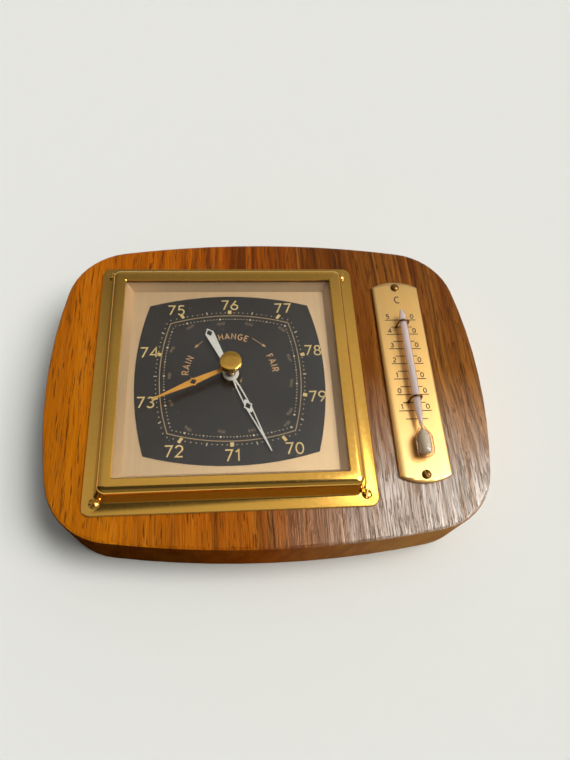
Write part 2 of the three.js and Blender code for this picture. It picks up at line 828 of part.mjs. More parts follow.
function glassPane() {
  const shape = new THREE.Shape(roundedSquare(glassHalf, glassCorner, 0).points);
  shape.holes.push(circle(bushRadius + seatGap, 0, 0, THREE.Path));
  return slab(shape, glassBottom, glassTop, mediumRound / 2);
}

function glassBush() {
  const inner = spindleRadius + holeGap;
  return turned([
    [inner, bushBottom], [bushRadius, bushBottom], [bushRadius, glassTop],
    [bushFlangeRadius, glassTop], [bushFlangeRadius, bushTop - bushBevel],
    [bushFlangeRadius - bushBevel, bushTop],
    [inner, bushTop], [inner, bushBottom],
  ]);
}

piece(instrument, 'bezel', bezelFrame(), brass());
const slotAngles = [40, 130, 75, 95];
for (const [i, [sx, sy]] of [[-1, -1], [-1, 1], [1, -1], [1, 1]].entries()) {
  piece(instrument, `bezel_screw_${i + 1}`, domedScrew(bezelScrew, bezelFlangeTop, slotAngles[i]), brass(),
    sx * bezelScrewAt, sy * bezelScrewAt);
}
piece(instrument, 'glass', glassPane(), clearGlass());
piece(instrument, 'glass_bush', glassBush(), brass());
piece(instrument, 'dial_tray', dialTray(), champagne());
piece(instrument, 'dial_sheet', dialSheet(), blackDial());

// Hands. Each is drawn pointing up and turned clockwise to its reading.

const clockwise = (reading) => -(reading - readingAtTop) * degreesPerCm * DEGREE;

function rhombus(Kind, y, halfWidth, halfLength) {
  const points = [[0, y - halfLength], [halfWidth, y], [0, y + halfLength], [-halfWidth, y]];
  return new Kind(points.map(([px, py]) => new THREE.Vector2(px, py)));
}

function polygon(Kind, points) {
  return new Kind(points.map(([x, y]) => new THREE.Vector2(x, y)));
}

const bothSides = (side) => [...side, ...side.map(([x, y]) => [-x, y]).reverse()];

function indicatorHand() {
  const root = indicatorHubRadius * 0.9;
  const centre = indicatorDiamondAt;
  const waist = indicatorWaist;
  const waistHalf = indicatorWaistHalfLength;
  const rail = indicatorRail;
  const window = waist - rail;
  const long = indicatorDiamondHalfLength;
  const meet = centre + indicatorMeet * (indicatorTip - centre);
  const bladeSide = [
    [indicatorRootHalfWidth, 0], [indicatorRootHalfWidth, root], [indicatorSpread, indicatorSpreadAt],
    [waist, centre - waistHalf], [waist, centre + waistHalf],
    [indicatorNeckHalfWidth, meet], [indicatorTipHalfWidth, indicatorTip],
  ];
  const blade = polygon(THREE.Shape, bothSides(bladeSide));
  const innerWindow = [
    [0, root + indicatorWindowStart], [rail - indicatorSpread, indicatorSpreadAt],
    [-window, centre - long], [0, centre - long * 1.3],
    [window, centre - long], [indicatorSpread - rail, indicatorSpreadAt],
  ];
  const outerStart = centre + long * 1.16;
  const outerWindow = [
    [0, outerStart + indicatorWindowPoint], [-window, outerStart], [0, meet - indicatorWindowEnd],
    [window, outerStart],
  ];
  blade.holes.push(polygon(THREE.Path, innerWindow), polygon(THREE.Path, outerWindow));
  const tailEnd = indicatorTail - indicatorTailPoint;
  const tail = polygon(THREE.Shape, [
    [indicatorTailRootHalfWidth, 0], [-indicatorTailRootHalfWidth, 0],
    [-indicatorTailHalfWidth, -tailEnd], [0, -indicatorTail], [indicatorTailHalfWidth, -tailEnd],
  ]);
  tail.holes.push(rhombus(THREE.Path, -tailEnd, indicatorTailHalfWidth * tailWindow,
    indicatorTailPoint * tailWindow));
  const diamond = rhombus(THREE.Shape, centre, indicatorDiamondHalfWidth, long);
  const flat = join(slab(blade, handBottom, handTop), slab(diamond, handBottom, handTop),
    slab(tail, handBottom, handTop), disc(indicatorHubRadius, handBottom, hubTop));
  const diamondHole = rhombus(THREE.Shape, centre, indicatorDiamondHalfWidth * diamondWindow,
    long * diamondWindow);
  const bore = disc(arborFrontRadius + pivotGap, handBottom - overcut, hubTop + overcut, 0, 0, smallRound);
  return cut(flat, slab(diamondHole, handBottom - overcut, handTop + overcut), bore)
    .rotateZ(clockwise(indicatorReading));
}

function setHand() {
  const centre = setHandDiamondAt;
  const waistHalf = setHandWaistHalfLength;
  const side = [
    [setHandRootHalfWidth, 0], [setHandRootHalfWidth, setHandHubRadius],
    [setHandHalfWidth, centre - waistHalf], [setHandHalfWidth, centre + waistHalf],
    [setHandTipHalfWidth, setHandTip],
  ];
  const halfWidth = setHandDiamondHalfWidth;
  const halfLength = setHandDiamondHalfLength;
  const blade = polygon(THREE.Shape, bothSides(side));
  const body = join(slab(blade, setHandBottom, setHandTop),
    slab(rhombus(THREE.Shape, centre, halfWidth, halfLength), setHandBottom, setHandTop),
    disc(setHandHubRadius, setHandBottom, knobBottom),
    disc(setHandPipeRadius, setHandBottom - setHandPipeLength, setHandBottom + setHandThickness / 2));
  const window = rhombus(THREE.Shape, centre, halfWidth * diamondWindow, halfLength * diamondWindow);
  const bore = disc(spindleRadius + pivotGap, bushTop, knobBottom + overcut, 0, 0, smallRound);
  return cut(body, slab(window, setHandBottom - overcut, setHandTop + overcut), bore)
    .rotateZ(clockwise(setReading));
}

const spindleTop = knobTop - knobCrown - pivotEnd;

function setKnob() {
  const shape = new THREE.Shape();
  for (let i = 0; i < knobRidges * 2; i++) {
    const angle = i * PI / knobRidges;
    const radius = i % 2 ? knobRadius - knobRidgeDepth : knobRadius;
    shape[i ? 'lineTo' : 'moveTo'](radius * cos(angle), radius * sin(angle));
  }
  const round = knobRounding;
  const rim = knobRadius + knobRidgeDepth / 2;
  const shoulder = knobTopRadius + (rim - knobTopRadius) * 0.5;
  const envelope = turned([
    [0, knobBottom], [rim - round * 0.6, knobBottom], [rim, knobBottom + round * 0.6],
    [rim, knobTop - round * 1.3], [shoulder, knobTop - round * 0.35],
    [knobTopRadius - round * 0.3, knobTop - round * 0.13], [knobTopRadius * 0.6, knobTop], [0, knobTop],
  ], knobRidges);
  const ridged = toSolid(slab(shape, knobBottom, knobTop)).intersect(toSolid(envelope));
  const bore = disc(spindleRadius + pivotGap, knobBottom - overcut, knobTop - knobCrown, 0, 0, smallRound);
  return cut(toGeometry(ridged), bore);
}

function setSpindle() {
  return turned([
    [0, rivetBottom], [spindleRivetRadius, rivetBottom], [spindleRivetRadius, washerBottom],
    [spindleRadius, washerBottom], [spindleRadius, spindleTop], [0, spindleTop],
  ], smallRound);
}

piece(instrument, 'indicator_hand', indicatorHand(), whitePaint());
piece(instrument, 'indicator_collet', ringDisc(colletRadius, arborFrontRadius + pivotGap,
  dialFace + colletGap, handBottom, 0, 0, smallRound), brass());
piece(instrument, 'set_hand', setHand(), goldPaint());
piece(instrument, 'set_knob', setKnob(), brass());
piece(instrument, 'set_spindle', setSpindle(), brass());
piece(instrument, 'spindle_washer', ringDisc(washerRadius, spindleRadius + pivotGap, washerBottom,
  washerBottom + washerThickness, 0, 0, smallRound), steel());

// Thermometer

function plateOutline(inset, level) {
  const half = plateHalfWidth - inset;
  const radius = (plateHalfWidth ** 2 + plateArcRise ** 2) / (2 * plateArcRise) - inset;
  const centre = plateApex - inset - radius;
  const swing = acos(half / radius);
  const points = [
    ...arcPoints(0, centre, radius, swing, PI - swing, 10),
    ...arcPoints(0, -centre, radius, PI + swing, 2 * PI - swing, 10),
  ];
  return { points, level };
}

function clipHole(side, y) {
  const x = side * (tubeRadius + seatGap + clipWireRadius);
  return disc(clipWireRadius + holeGap, boardFace - overcut, plateTop + overcut, x, y, smallRound);
}

function thermometerPlate() {
  const rings = [
    plateOutline(0, boardFace), plateOutline(0, plateTop - plateBevel),
    plateOutline(plateBevelWidth * 0.3, plateTop - plateBevel * 0.45),
    plateOutline(plateBevelWidth, plateTop),
  ];
  const tools = [-1, 1].map((side) => disc(plateScrew.shank + holeGap, boardFace - overcut,
    plateTop + overcut, 0, side * plateScrewAt, smallRound));
  for (const y of clipPlaces) tools.push(clipHole(-1, y), clipHole(1, y));
  return cut(loft(rings, false), ...tools);
}

// Tube and fluid are turned about the tube's own upright axis

function uprightTurned(profile) {
  const points = profile.map(([radius, y]) => new THREE.Vector2(radius, y));
  return tidy(new THREE.LatheGeometry(points, tubeRound)).translate(0, 0, tubeAxis);
}

const fluidTop = zeroDegreesAt + millimetresPerDegree * shownDegrees;

function thermometerTube() {
  const r = bulbRadius;
  const inner = bulbRadius - bulbWall;
  const neckBottom = bulbTop + bulbShoulder;
  const neckTop = neckBottom + neckLength;
  const outside = [
    [0, bulbBottom], [r * 0.6, bulbBottom + r * 0.09], [r * 0.92, bulbBottom + r * 0.35],
    [r, bulbBottom + r * 0.7], [r, bulbTop], [r * 0.87, bulbTop + bulbShoulder * 0.22],
    [r * 0.66, bulbTop + bulbShoulder * 0.46], [r * 0.4, bulbTop + bulbShoulder * 0.76],
    [tubeNeckRadius, neckBottom], [tubeNeckRadius, neckTop],
    [tubeRadius, neckTop + tubeNeckTaper], [tubeRadius, tubeTop - tubeTipTaper],
    [tubeTipRadius, tubeTop - tubeTipRadius], [tubeTipRadius * 0.8, tubeTop],
  ];
  const floor = bulbBottom + bulbWall;
  const inside = [
    [tubeBoreRadius, tubeTop], [tubeBoreRadius, neckBottom],
    [tubeBoreRadius, bulbTop + bulbShoulder * 0.74], [inner * 0.5, bulbTop + bulbShoulder * 0.54],
    [inner * 0.82, bulbTop + bulbShoulder * 0.36], [inner, bulbTop],
    [inner, floor + inner * 0.72],
    [inner * 0.9, floor + inner * 0.35], [inner * 0.6, floor + inner * 0.14], [0, floor + inner * 0.07],
  ];
  return uprightTurned([...outside, ...inside]);
}

function thermometerFluid() {
  const r = bulbRadius - bulbWall - seatGap;
  const column = tubeBoreRadius - seatGap;
  const floor = bulbBottom + bulbWall + 2 * seatGap;
  return uprightTurned([
    [0, floor + r * 0.07], [r * 0.6, floor + r * 0.14], [r * 0.88, floor + r * 0.36],
    [r, floor + r * 0.74], [r, bulbTop - seatGap], [r * 0.82, bulbTop + bulbShoulder * 0.33],
    [r * 0.5, bulbTop + bulbShoulder * 0.51], [column, bulbTop + bulbShoulder * 0.69],
    [column, fluidTop], [0, fluidTop],
  ]);
}

function tubeSeal() {
  const radius = tubeBoreRadius - pivotGap;
  const bottom = tubeTop - sealLength;
  return uprightTurned([[0, bottom], [radius, bottom], [radius, tubeTop], [0, tubeTop + pivotGap]]);
}

// A wire staple over the tube with both legs in the plate

function tubeClip(y) {
  const reach = tubeRadius + seatGap + clipWireRadius;
  const leg = plateTop - clipLegDepth;
  const path = [[-reach, leg]];
  for (let i = 0; i <= clipSegments; i++) {
    const angle = PI - PI * i / clipSegments;
    path.push([reach * cos(angle), tubeAxis + reach * sin(angle)]);
  }
  path.push([reach, leg]);
  return sweptWire(path, clipWireRadius).translate(0, y, 0);
}

// A wire through corners [x, level] in the plane y = 0

function sweptWire(path, radius) {
  const corners = path.map(([x, level]) => new THREE.Vector3(x, 0, level));
  const sides = wireSides;
  const positions = [];
  for (const [i, corner] of corners.entries()) {
    const before = corners[Math.max(i - 1, 0)];
    const after = corners[Math.min(i + 1, corners.length - 1)];
    const along = after.clone().sub(before).normalize();
    for (let k = 0; k < sides; k++) {
      const angle = 2 * PI * k / sides;
      const across = radius * cos(angle);
      positions.push(corner.x + across * along.z, radius * sin(angle), corner.z - across * along.x);
    }
  }
  const index = [];
  for (let i = 0; i < corners.length - 1; i++) {
    for (let k = 0; k < sides; k++) {
      const a = i * sides + k;
      const b = i * sides + (k + 1) % sides;
      index.push(a, b, b + sides, a, b + sides, a + sides);
    }
  }
  const end = (corners.length - 1) * sides;
  for (let k = 1; k < sides - 1; k++) {
    index.push(0, k + 1, k);
    index.push(end, end + k, end + k + 1);
  }
  const geometry = new THREE.BufferGeometry();
  geometry.setAttribute('position', new THREE.Float32BufferAttribute(positions, 3));
  geometry.setIndex(index);
  return geometry;
}

piece(thermometer, 'thermometer_plate', thermometerPlate(), brass());
piece(thermometer, 'thermometer_tube', thermometerTube(), clearGlass());
piece(thermometer, 'thermometer_fluid', thermometerFluid(), greyFluid());
piece(thermometer, 'tube_seal', tubeSeal(), clearGlass());
for (const [i, y] of clipPlaces.entries()) piece(thermometer, `tube_clip_${i + 1}`, tubeClip(y), bronze());
for (const [i, s] of [1, -1].entries()) {
  piece(thermometer, `thermometer_screw_${i + 1}`, domedScrew(plateScrew, plateTop, 70 + 45 * i), bronze(),
    0, s * plateScrewAt);
}

// Movement base, adjusting screw and capsule

function movementBase() {
  const through = [-overcut, baseTop + overcut];
  const tools = [disc(adjusterHeadRadius + holeGap, ...through, 0, 0, tubeRound)];
  for (const angle of baseScrewAngles) {
    tools.push(flushScrewHole(flushScrew, baseInset, baseScrewAt * cos(angle * DEGREE),
      baseScrewAt * sin(angle * DEGREE)));
  }
  for (const angle of ventAngles) {
    const vent = polar(ventCircleRadius, angle * DEGREE);
    tools.push(disc(ventRadius, ...through, vent.x, vent.y, smallRound));
  }
  return cut(disc(baseRadius, baseInset, baseTop, 0, 0, bigRound), ...tools);
}

function adjustingScrew() {
  const head = baseInset + seatGap;
  const collar = baseTop + seatGap;
  const end = capsuleBack - seatFloor - adjusterEndGap;
  const body = turned([
    [0, head], [adjusterHeadRadius, head], [adjusterHeadRadius, collar], [adjusterCollarRadius, collar],
    [adjusterCollarRadius, collarTop], [adjusterShankRadius, collarTop], [adjusterShankRadius, end], [0, end],
  ], tubeRound);
  return cut(body, slotCutter(adjusterHeadRadius, adjusterSlot, head - overcut, head + adjusterSlotDepth,
    adjusterSlotAngle));
}

function capsuleSeat() {
  const bore = adjusterShankRadius + holeGap;
  return turned([
    [bore, seatBottom], [seatRadius, seatBottom], [seatRadius, capsuleBack], [0, capsuleBack],
    [0, capsuleBack - seatFloor], [bore, capsuleBack - seatFloor], [bore, seatBottom],
  ], tubeRound);
}

// One corrugated skin of the capsule; side is 1 for the front skin and -1 for the back one

function capsuleSkinBody(side) {
  const face = capsuleMiddle + side * capsuleHalfHeight;
  const rim = capsuleMiddle + side * capsuleRimGap / 2;
  const skin = side * capsuleSkin;
  const wall = capsuleRadius - capsuleRimWidth;
  const shoulder = wall - capsuleShoulderWidth;
  const waveStart = capsuleCrownRadius + capsuleFirstWave;
  const waveEnd = wall - capsuleLastWave;
  const steps = capsuleWaves * 2;
  const waves = [];
  for (let i = 1; i <= steps; i++) {
    const dip = i % 2 ? side * capsuleWaveHeight : 0;
    waves.push([waveStart + (waveEnd - waveStart) * i / steps, face - dip]);
  }
  const outer = [
    [0, face], [capsuleCrownRadius, face], ...waves,
    [shoulder, face - side * capsuleShoulderHeight], [wall, rim + skin], [capsuleRadius, rim + skin],
  ];
  const inner = [
    [capsuleRadius, rim], [wall - capsuleSkin, rim], 
    [shoulder - capsuleSkin, face - side * capsuleShoulderHeight - skin],
    ...waves.map(([radius, level]) => [radius, level - skin]).reverse(),
    [capsuleCrownRadius, face - skin], [0, face - skin],
  ];
  return turned([...outer, ...inner], capsuleRound);
}

function capsuleStud() {
  return turned([
    [0, capsuleFront], [studRadius, capsuleFront], [studRadius, capsuleFront + studFootHeight],
    [studPinRadius, capsuleFront + studFootHeight], [studPinRadius, studTop - studPinBevel], [0, studTop],
  ], smallRound);
}

piece(instrument, 'movement_base', movementBase(), silver());
for (const [i, angle] of baseScrewAngles.entries()) {
  piece(instrument, `base_screw_${i + 1}`, flushScrewBody(flushScrew, baseInset, 20 + 55 * i), steel(),
    baseScrewAt * cos(angle * DEGREE), baseScrewAt * sin(angle * DEGREE));
}
piece(instrument, 'adjusting_screw', adjustingScrew(), brass());
piece(instrument, 'capsule_seat', capsuleSeat(), brass());
piece(instrument, 'capsule_rear_skin', capsuleSkinBody(-1), silver());
piece(instrument, 'capsule_front_skin', capsuleSkinBody(1), silver());
piece(instrument, 'capsule_stud', capsuleStud(), brass());

// Rocking shaft. Its profile pieces are drawn as (y, level) and extruded along x.

function alongX(shape, x0, x1) {
  const turn = new THREE.Matrix4().set(0, 0, 1, 0, 1, 0, 0, 0, 0, 1, 0, 0, 0, 0, 0, 1);
  return slab(shape, x0, x1).applyMatrix4(turn);
}

const shaftY = -shaftOffset;
const shaftHalfLength = bracketAt + bracketSheet + shaftEnd;
const restPinAngle = -middleOfSwing * DEGREE;
const restPinX = sectorX + sectorPinAt * cos(restPinAngle);
const restPinY = sectorPinAt * sin(restPinAngle);

function shaftBore(x0, x1) {
  return alongX(circle(shaftRadius + pivotGap, shaftY, shaftLevel), x0 - overcut, x1 + overcut);
}

function liftingArm() {
  const under = studTop + 2 * seatGap;
  const half = liftingArmWidth / 2;
  const arm = rectangle(shaftY, under, liftingArmReach, under + liftingArmThickness);
  const hub = circle(armHubRadius, shaftY, shaftLevel);
  return cut(join(alongX(arm, -half, half), alongX(hub, -half, half)), shaftBore(-half, half));
}

function transferArm() {
  const near = restPinY + sectorPinRadius + armToPinGap;
  const far = near + transferArmThickness;
  const top = transferPinLevel + transferArmPast;
  const bend = shaftLevel + armHubRadius * 1.6;
  const arm = polygon(THREE.Shape, [
    [shaftY - armHubRadius * 0.4, shaftLevel + armHubRadius * 0.5], [shaftY + armHubRadius * 0.6, shaftLevel],
    [far, bend], [far, top], [near, top], [near, bend + transferArmThickness / 2],
  ]);
  const x0 = restPinX - transferArmWidth / 2;
  const x1 = restPinX + transferArmWidth / 2;
  const hub = circle(armHubRadius, shaftY, shaftLevel);
  const weight = rectangle(shaftY - counterpoiseHeight / 2, shaftLevel - counterpoiseReach,
    shaftY + counterpoiseHeight / 2, shaftLevel);
  const w0 = restPinX - counterpoiseWidth / 2;
  const w1 = restPinX + counterpoiseWidth / 2;
  return cut(join(alongX(arm, x0, x1), alongX(hub, x0, x1), alongX(weight, w0, w1)), shaftBore(w0, w1));
}

function shaftBracket(side) {
  const x0 = side > 0 ? bracketAt : -bracketAt - bracketSheet;
  const foot0 = side > 0 ? bracketAt : -bracketAt - bracketFoot;
  const y0 = shaftY - bracketHalfWidth;
  const y1 = shaftY + bracketHalfWidth;
  const sheet = rectangle(y0, baseTop, y1, shaftLevel + bracketAboveShaft);
  const foot = slab(rectangle(foot0, y0, foot0 + bracketFoot, y1), baseTop, baseTop + bracketSheet);
  return cut(join(alongX(sheet, x0, x0 + bracketSheet), foot), shaftBore(x0, x0 + bracketSheet));
}

piece(instrument, 'bracket_left', shaftBracket(-1), steel());
piece(instrument, 'bracket_right', shaftBracket(1), steel());
piece(instrument, 'rocking_shaft', alongX(circle(shaftRadius, shaftY, shaftLevel), -shaftHalfLength,
  shaftHalfLength), steel());
piece(instrument, 'lifting_arm', liftingArm(), silver());
piece(instrument, 'transfer_arm', transferArm(), silver());

// Wheel teeth: the flank points of one involute tooth, from root to tip

const involute = (angle) => tan(angle) - angle;

function toothFlank(teeth) {
  const pitch = gearModule * teeth / 2;
  const base = pitch * cos(pressureAngle * DEGREE);
  const root = pitch - toothDedendum * gearModule;
  const tip = pitch + toothAddendum * gearModule;
  const halfAtPitch = PI / (2 * teeth) - toothBacklash / (2 * pitch);
  const from = Math.max(root, base);
  const flank = [];
  if (root < base) flank.push([root, halfAtPitch + involute(pressureAngle * DEGREE)]);
  for (let i = 0; i <= 2; i++) {
    const radius = from + (tip - from) * i / 2;
    const roll = acos(Math.min(1, base / radius));
    flank.push([radius, halfAtPitch + involute(pressureAngle * DEGREE) - involute(roll)]);
  }
  return flank;
}

function toothPoints(flank, centre) {
  const rising = flank.map(([radius, half]) => [radius, centre - half]);
  const falling = flank.map(([radius, half]) => [radius, centre + half]).reverse();
  return [...rising, ...falling].map(([radius, angle]) => polar(radius, angle));
}

function pinionShape() {
  const flank = toothFlank(pinionTeeth);
  const points = [];
  for (let i = 0; i < pinionTeeth; i++) points.push(...toothPoints(flank, PI + i * 2 * PI / pinionTeeth));
  return new THREE.Shape(points);
}

function sectorShape() {
  const flank = toothFlank(sectorFullTeeth);
  const step = 2 * PI / sectorFullTeeth;
  const first = Math.ceil(-swingUp * DEGREE / step - sectorSpareTeeth) - 0.5;
  const last = Math.floor(swingDown * DEGREE / step + sectorSpareTeeth) + 0.5;
  const root = flank[0][0];
  const low = (first - 0.6) * step;
  const high = (last + 0.6) * step;
  const points = arcPoints(0, 0, sectorHubRadius, high, low + 2 * PI, 10);
  points.push(polar(root, low));
  for (let tooth = first; tooth <= last; tooth++) points.push(...toothPoints(flank, tooth * step));
  points.push(polar(root, high));
  const shape = new THREE.Shape(points);
  shape.holes.push(circle(arborRadius + pivotGap, 0, 0, THREE.Path));
  const margin = sectorWindowMargin * DEGREE;
  const inner = sectorPinAt + sectorPinRadius + sectorWeb;
  shape.holes.push(new THREE.Path([
    ...arcPoints(0, 0, root - sectorRim, low + margin, high - margin, 6),
    ...arcPoints(0, 0, inner, high - margin, low + margin, 3),
  ]));
  return shape;
}

const arborRear = rearBridgeFront + seatGap;
const arborFront = frontBridgeBack - seatGap;
const pivotRear = rearBridgeBack - pivotEnd;

function pinionArbor() {
  const arbor = turned([
    [0, pivotRear], [pivotRadius, pivotRear], [pivotRadius, arborRear], [arborRadius, arborRear],
    [arborRadius, arborFront], [arborFrontRadius, arborFront], [arborFrontRadius, hubTop], [0, hubTop],
  ], smallRound);
  const middle = (sectorBack + sectorFront) / 2;
  const half = pinionThickness / 2;
  const collet = disc(hairspringColletRadius, hairspringBack, hairspringFront, 0, 0, smallRound);
  return join(arbor, slab(pinionShape(), middle - half, middle + half), collet);
}

function sectorArbor() {
  const pivotFront = frontBridgeFront + pivotEnd;
  return turned([
    [0, pivotRear], [pivotRadius, pivotRear], [pivotRadius, arborRear], [arborRadius, arborRear],
    [arborRadius, arborFront], [pivotRadius, arborFront], [pivotRadius, pivotFront], [0, pivotFront],
  ], smallRound);
}

function hairspring() {
  const steps = smallRound * hairspringTurns;
  const inside = [];
  const outside = [];
  for (let i = 0; i <= steps; i++) {
    const angle = i * 2 * PI * hairspringTurns / steps;
    const radius = hairspringInner + hairspringPitch * angle / (2 * PI);
    inside.push(polar(radius, angle));
    outside.push(polar(radius + hairspringBand, angle));
  }
  return slab(new THREE.Shape([...outside, ...inside.reverse()]), hairspringBack, hairspringFront);
}

const hairspringOuter = hairspringInner + hairspringPitch * hairspringTurns + hairspringBand;
const hairspringStudX = hairspringOuter + hairspringStudRadius + seatGap;

// Bridges and what carries them

function rearBridge() {
  const shape = rectangle(-rearBridgeHalfLength, rearBridgeBottom, rearBridgeHalfLength, rearBridgeTop,
    bridgeCorner);
  const hole = (radius, x, y) => shape.holes.push(circle(radius, x, y, THREE.Path));
  hole(pivotRadius + pivotGap, 0, 0);
  hole(pivotRadius + pivotGap, sectorX, 0);
  for (const s of [-1, 1]) hole(bridgeScrew.shank + holeGap, s * pillarX, pillarY);
  hole(bridgeScrew.shank + holeGap, leftSpacerX, 0);
  hole(bridgeScrew.shank + holeGap, rightSpacerX, 0);
  const half = transferArmWidth / 2 + transferSlotMargin;
  const slot = rectangle(restPinX - half, transferSlotBottom, restPinX + half, transferSlotTop);
  return cut(slab(shape, rearBridgeBack, rearBridgeFront),
    slab(slot, rearBridgeBack - overcut, rearBridgeFront + overcut));
}

function frontBridge() {
  const shape = rectangle(leftSpacerX - frontBridgeEndMargin, -frontBridgeHalfWidth,
    rightSpacerX + frontBridgeEndMargin, frontBridgeHalfWidth, bridgeCorner);
  const hole = (radius, x) => shape.holes.push(circle(radius, x, 0, THREE.Path));
  hole(arborFrontRadius + pivotGap, 0);
  hole(pivotRadius + pivotGap, sectorX);
  hole(bridgeScrew.shank + holeGap, leftSpacerX);
  hole(bridgeScrew.shank + holeGap, rightSpacerX);
  return slab(shape, frontBridgeBack, frontBridgeFront);
}

function pillar(x) {
  const bore = disc(bridgeScrew.shank + holeGap, rearBridgeBack - bridgeScrew.length,
    rearBridgeBack + overcut, x, pillarY, smallRound);
  return cut(disc(pillarRadius, baseTop, rearBridgeBack, x, pillarY, tubeRound), bore);
}

piece(instrument, 'sector_gear', slab(sectorShape(), sectorBack, sectorFront, 8), brass(), sectorX);
piece(instrument, 'sector_arbor', sectorArbor(), steel(), sectorX);
piece(instrument, 'sector_pin', disc(sectorPinRadius, sectorBack - sectorPinLength, sectorBack, 0, 0,
  smallRound), steel(), restPinX, restPinY);
piece(instrument, 'pinion_arbor', pinionArbor(), steel());
piece(instrument, 'hairspring', hairspring(), steel());
piece(instrument, 'hairspring_stud', disc(hairspringStudRadius, rearBridgeFront, hairspringFront,
  hairspringStudX, 0, smallRound), brass());
piece(instrument, 'rear_bridge', rearBridge(), brass());
piece(instrument, 'front_bridge', frontBridge(), brass());
for (const [i, s] of [-1, 1].entries()) {
  piece(instrument, `pillar_${i + 1}`, pillar(s * pillarX), brass());
  piece(instrument, `bridge_screw_${i + 1}`, domedScrew(bridgeScrew, rearBridgeFront, 25 + 60 * i), steel(),
    s * pillarX, pillarY);
}
for (const [i, x] of [leftSpacerX, rightSpacerX].entries()) {
  piece(instrument, `spacer_${i + 1}`, ringDisc(spacerRadius, bridgeScrew.shank + holeGap, rearBridgeFront,
    frontBridgeBack, x, 0, tubeRound), brass());
  piece(instrument, `bridge_screw_${i + 3}`, domedScrew(spacerScrew, frontBridgeFront, 50 + 70 * i), steel(),
    x);
}

export default barometer;
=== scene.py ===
"""Looks, printed scales, light and camera for the wall barometer on its teak board.

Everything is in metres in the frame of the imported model: X to the right, Z up, the dial faces -Y and the wall
is Y = 0. Prints are laid out in millimetres from the middle of the face that carries them.
"""

import json
from math import atan2, cos, hypot, pi, radians, sin, sqrt, tau

import bmesh
import bpy
from mathutils import Matrix, Vector


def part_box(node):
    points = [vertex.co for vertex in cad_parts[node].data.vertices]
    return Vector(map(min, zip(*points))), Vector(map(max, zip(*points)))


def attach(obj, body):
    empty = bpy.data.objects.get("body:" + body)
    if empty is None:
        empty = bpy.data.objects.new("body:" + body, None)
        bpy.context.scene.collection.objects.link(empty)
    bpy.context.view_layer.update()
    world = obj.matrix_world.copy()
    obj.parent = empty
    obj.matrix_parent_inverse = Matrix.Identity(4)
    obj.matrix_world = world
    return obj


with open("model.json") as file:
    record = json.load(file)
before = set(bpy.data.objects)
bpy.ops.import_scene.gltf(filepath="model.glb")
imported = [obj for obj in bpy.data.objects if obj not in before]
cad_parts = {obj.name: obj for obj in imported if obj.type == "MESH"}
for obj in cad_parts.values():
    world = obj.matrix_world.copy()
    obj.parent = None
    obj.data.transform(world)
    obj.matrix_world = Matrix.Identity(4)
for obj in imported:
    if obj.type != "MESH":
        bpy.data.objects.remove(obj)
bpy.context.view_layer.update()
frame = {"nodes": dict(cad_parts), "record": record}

MM = 0.001


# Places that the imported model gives

def front(box):
    """The middle of a box's front face, as x, y and z."""
    low, high = box
    return (low.x + high.x) / 2, low.y, (low.z + high.z) / 2


DIAL_FRONT = front(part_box("dial_sheet"))
PLATE_FRONT = front(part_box("thermometer_plate"))
BOARD_LOW, BOARD_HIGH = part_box("case_board")
FLANGE_THICKNESS = 0.8 * MM
FLANGE_FACE = BOARD_LOW.y - FLANGE_THICKNESS
MILK_HEIGHT = PLATE_FRONT[2] - 22.5 * MM


def rgb(red, green, blue):
    """A colour as it shows on a screen, 0 to 255, in the linear values that shaders take."""
    def linear(value):
        value /= 255
        return value / 12.92 if value <= 0.04045 else ((value + 0.055) / 1.055) ** 2.4
    return (linear(red), linear(green), linear(blue), 1.0)


# Materials

class Nodes:
    """Short calls that make and join the nodes of one tree."""

    def __init__(self, tree):
        self.tree = tree

    def feed(self, socket, value):
        if isinstance(value, bpy.types.NodeSocket):
            self.tree.links.new(value, socket)
        else:
            socket.default_value = value

    def node(self, kind, sockets=None, **settings):
        made = self.tree.nodes.new(kind)
        for key, value in settings.items():
            setattr(made, key, value)
        for key, value in (sockets or {}).items():
            self.feed(made.inputs[key], value)
        return made

    def math(self, operation, first, second):
        return self.node("ShaderNodeMath", {0: first, 1: second}, operation=operation).outputs[0]

    def times(self, first, *others):
        for other in others:
            first = self.math("MULTIPLY", first, other)
        return first

    def vector_math(self, operation, first, second):
        return self.node("ShaderNodeVectorMath", {0: first, 1: second}, operation=operation).outputs[0]

    def axis(self, vector, letter):
        return self.node("ShaderNodeSeparateXYZ", {0: vector}).outputs["XYZ".index(letter)]

    def share(self, value, start, end):
        """How far the value is on its way from start to end, 0 to 1."""
        sockets = {"Value": value, "From Min": start, "From Max": end}
        return self.node("ShaderNodeMapRange", sockets).outputs[0]

    def ramp(self, factor, stops):
        """Colours along the factor, or greys where a stop has a number for its colour."""
        made = self.node("ShaderNodeValToRGB", {"Fac": factor})
        band = made.color_ramp
        while len(band.elements) < len(stops):
            band.elements.new(1.0)
        for element, (position, color) in zip(band.elements, stops):
            element.position = position
            element.color = color if isinstance(color, tuple) else (color, color, color, 1)
        return made.outputs["Color"]

    def mix(self, factor, first, second, blend="MIX"):
        sockets = {0: factor, 6: first, 7: second}
        return self.node("ShaderNodeMix", sockets, data_type="RGBA", blend_type=blend).outputs[2]

    def shader_mix(self, share, first, second):
        return self.node("ShaderNodeMixShader", {0: share, 1: first, 2: second}).outputs[0]


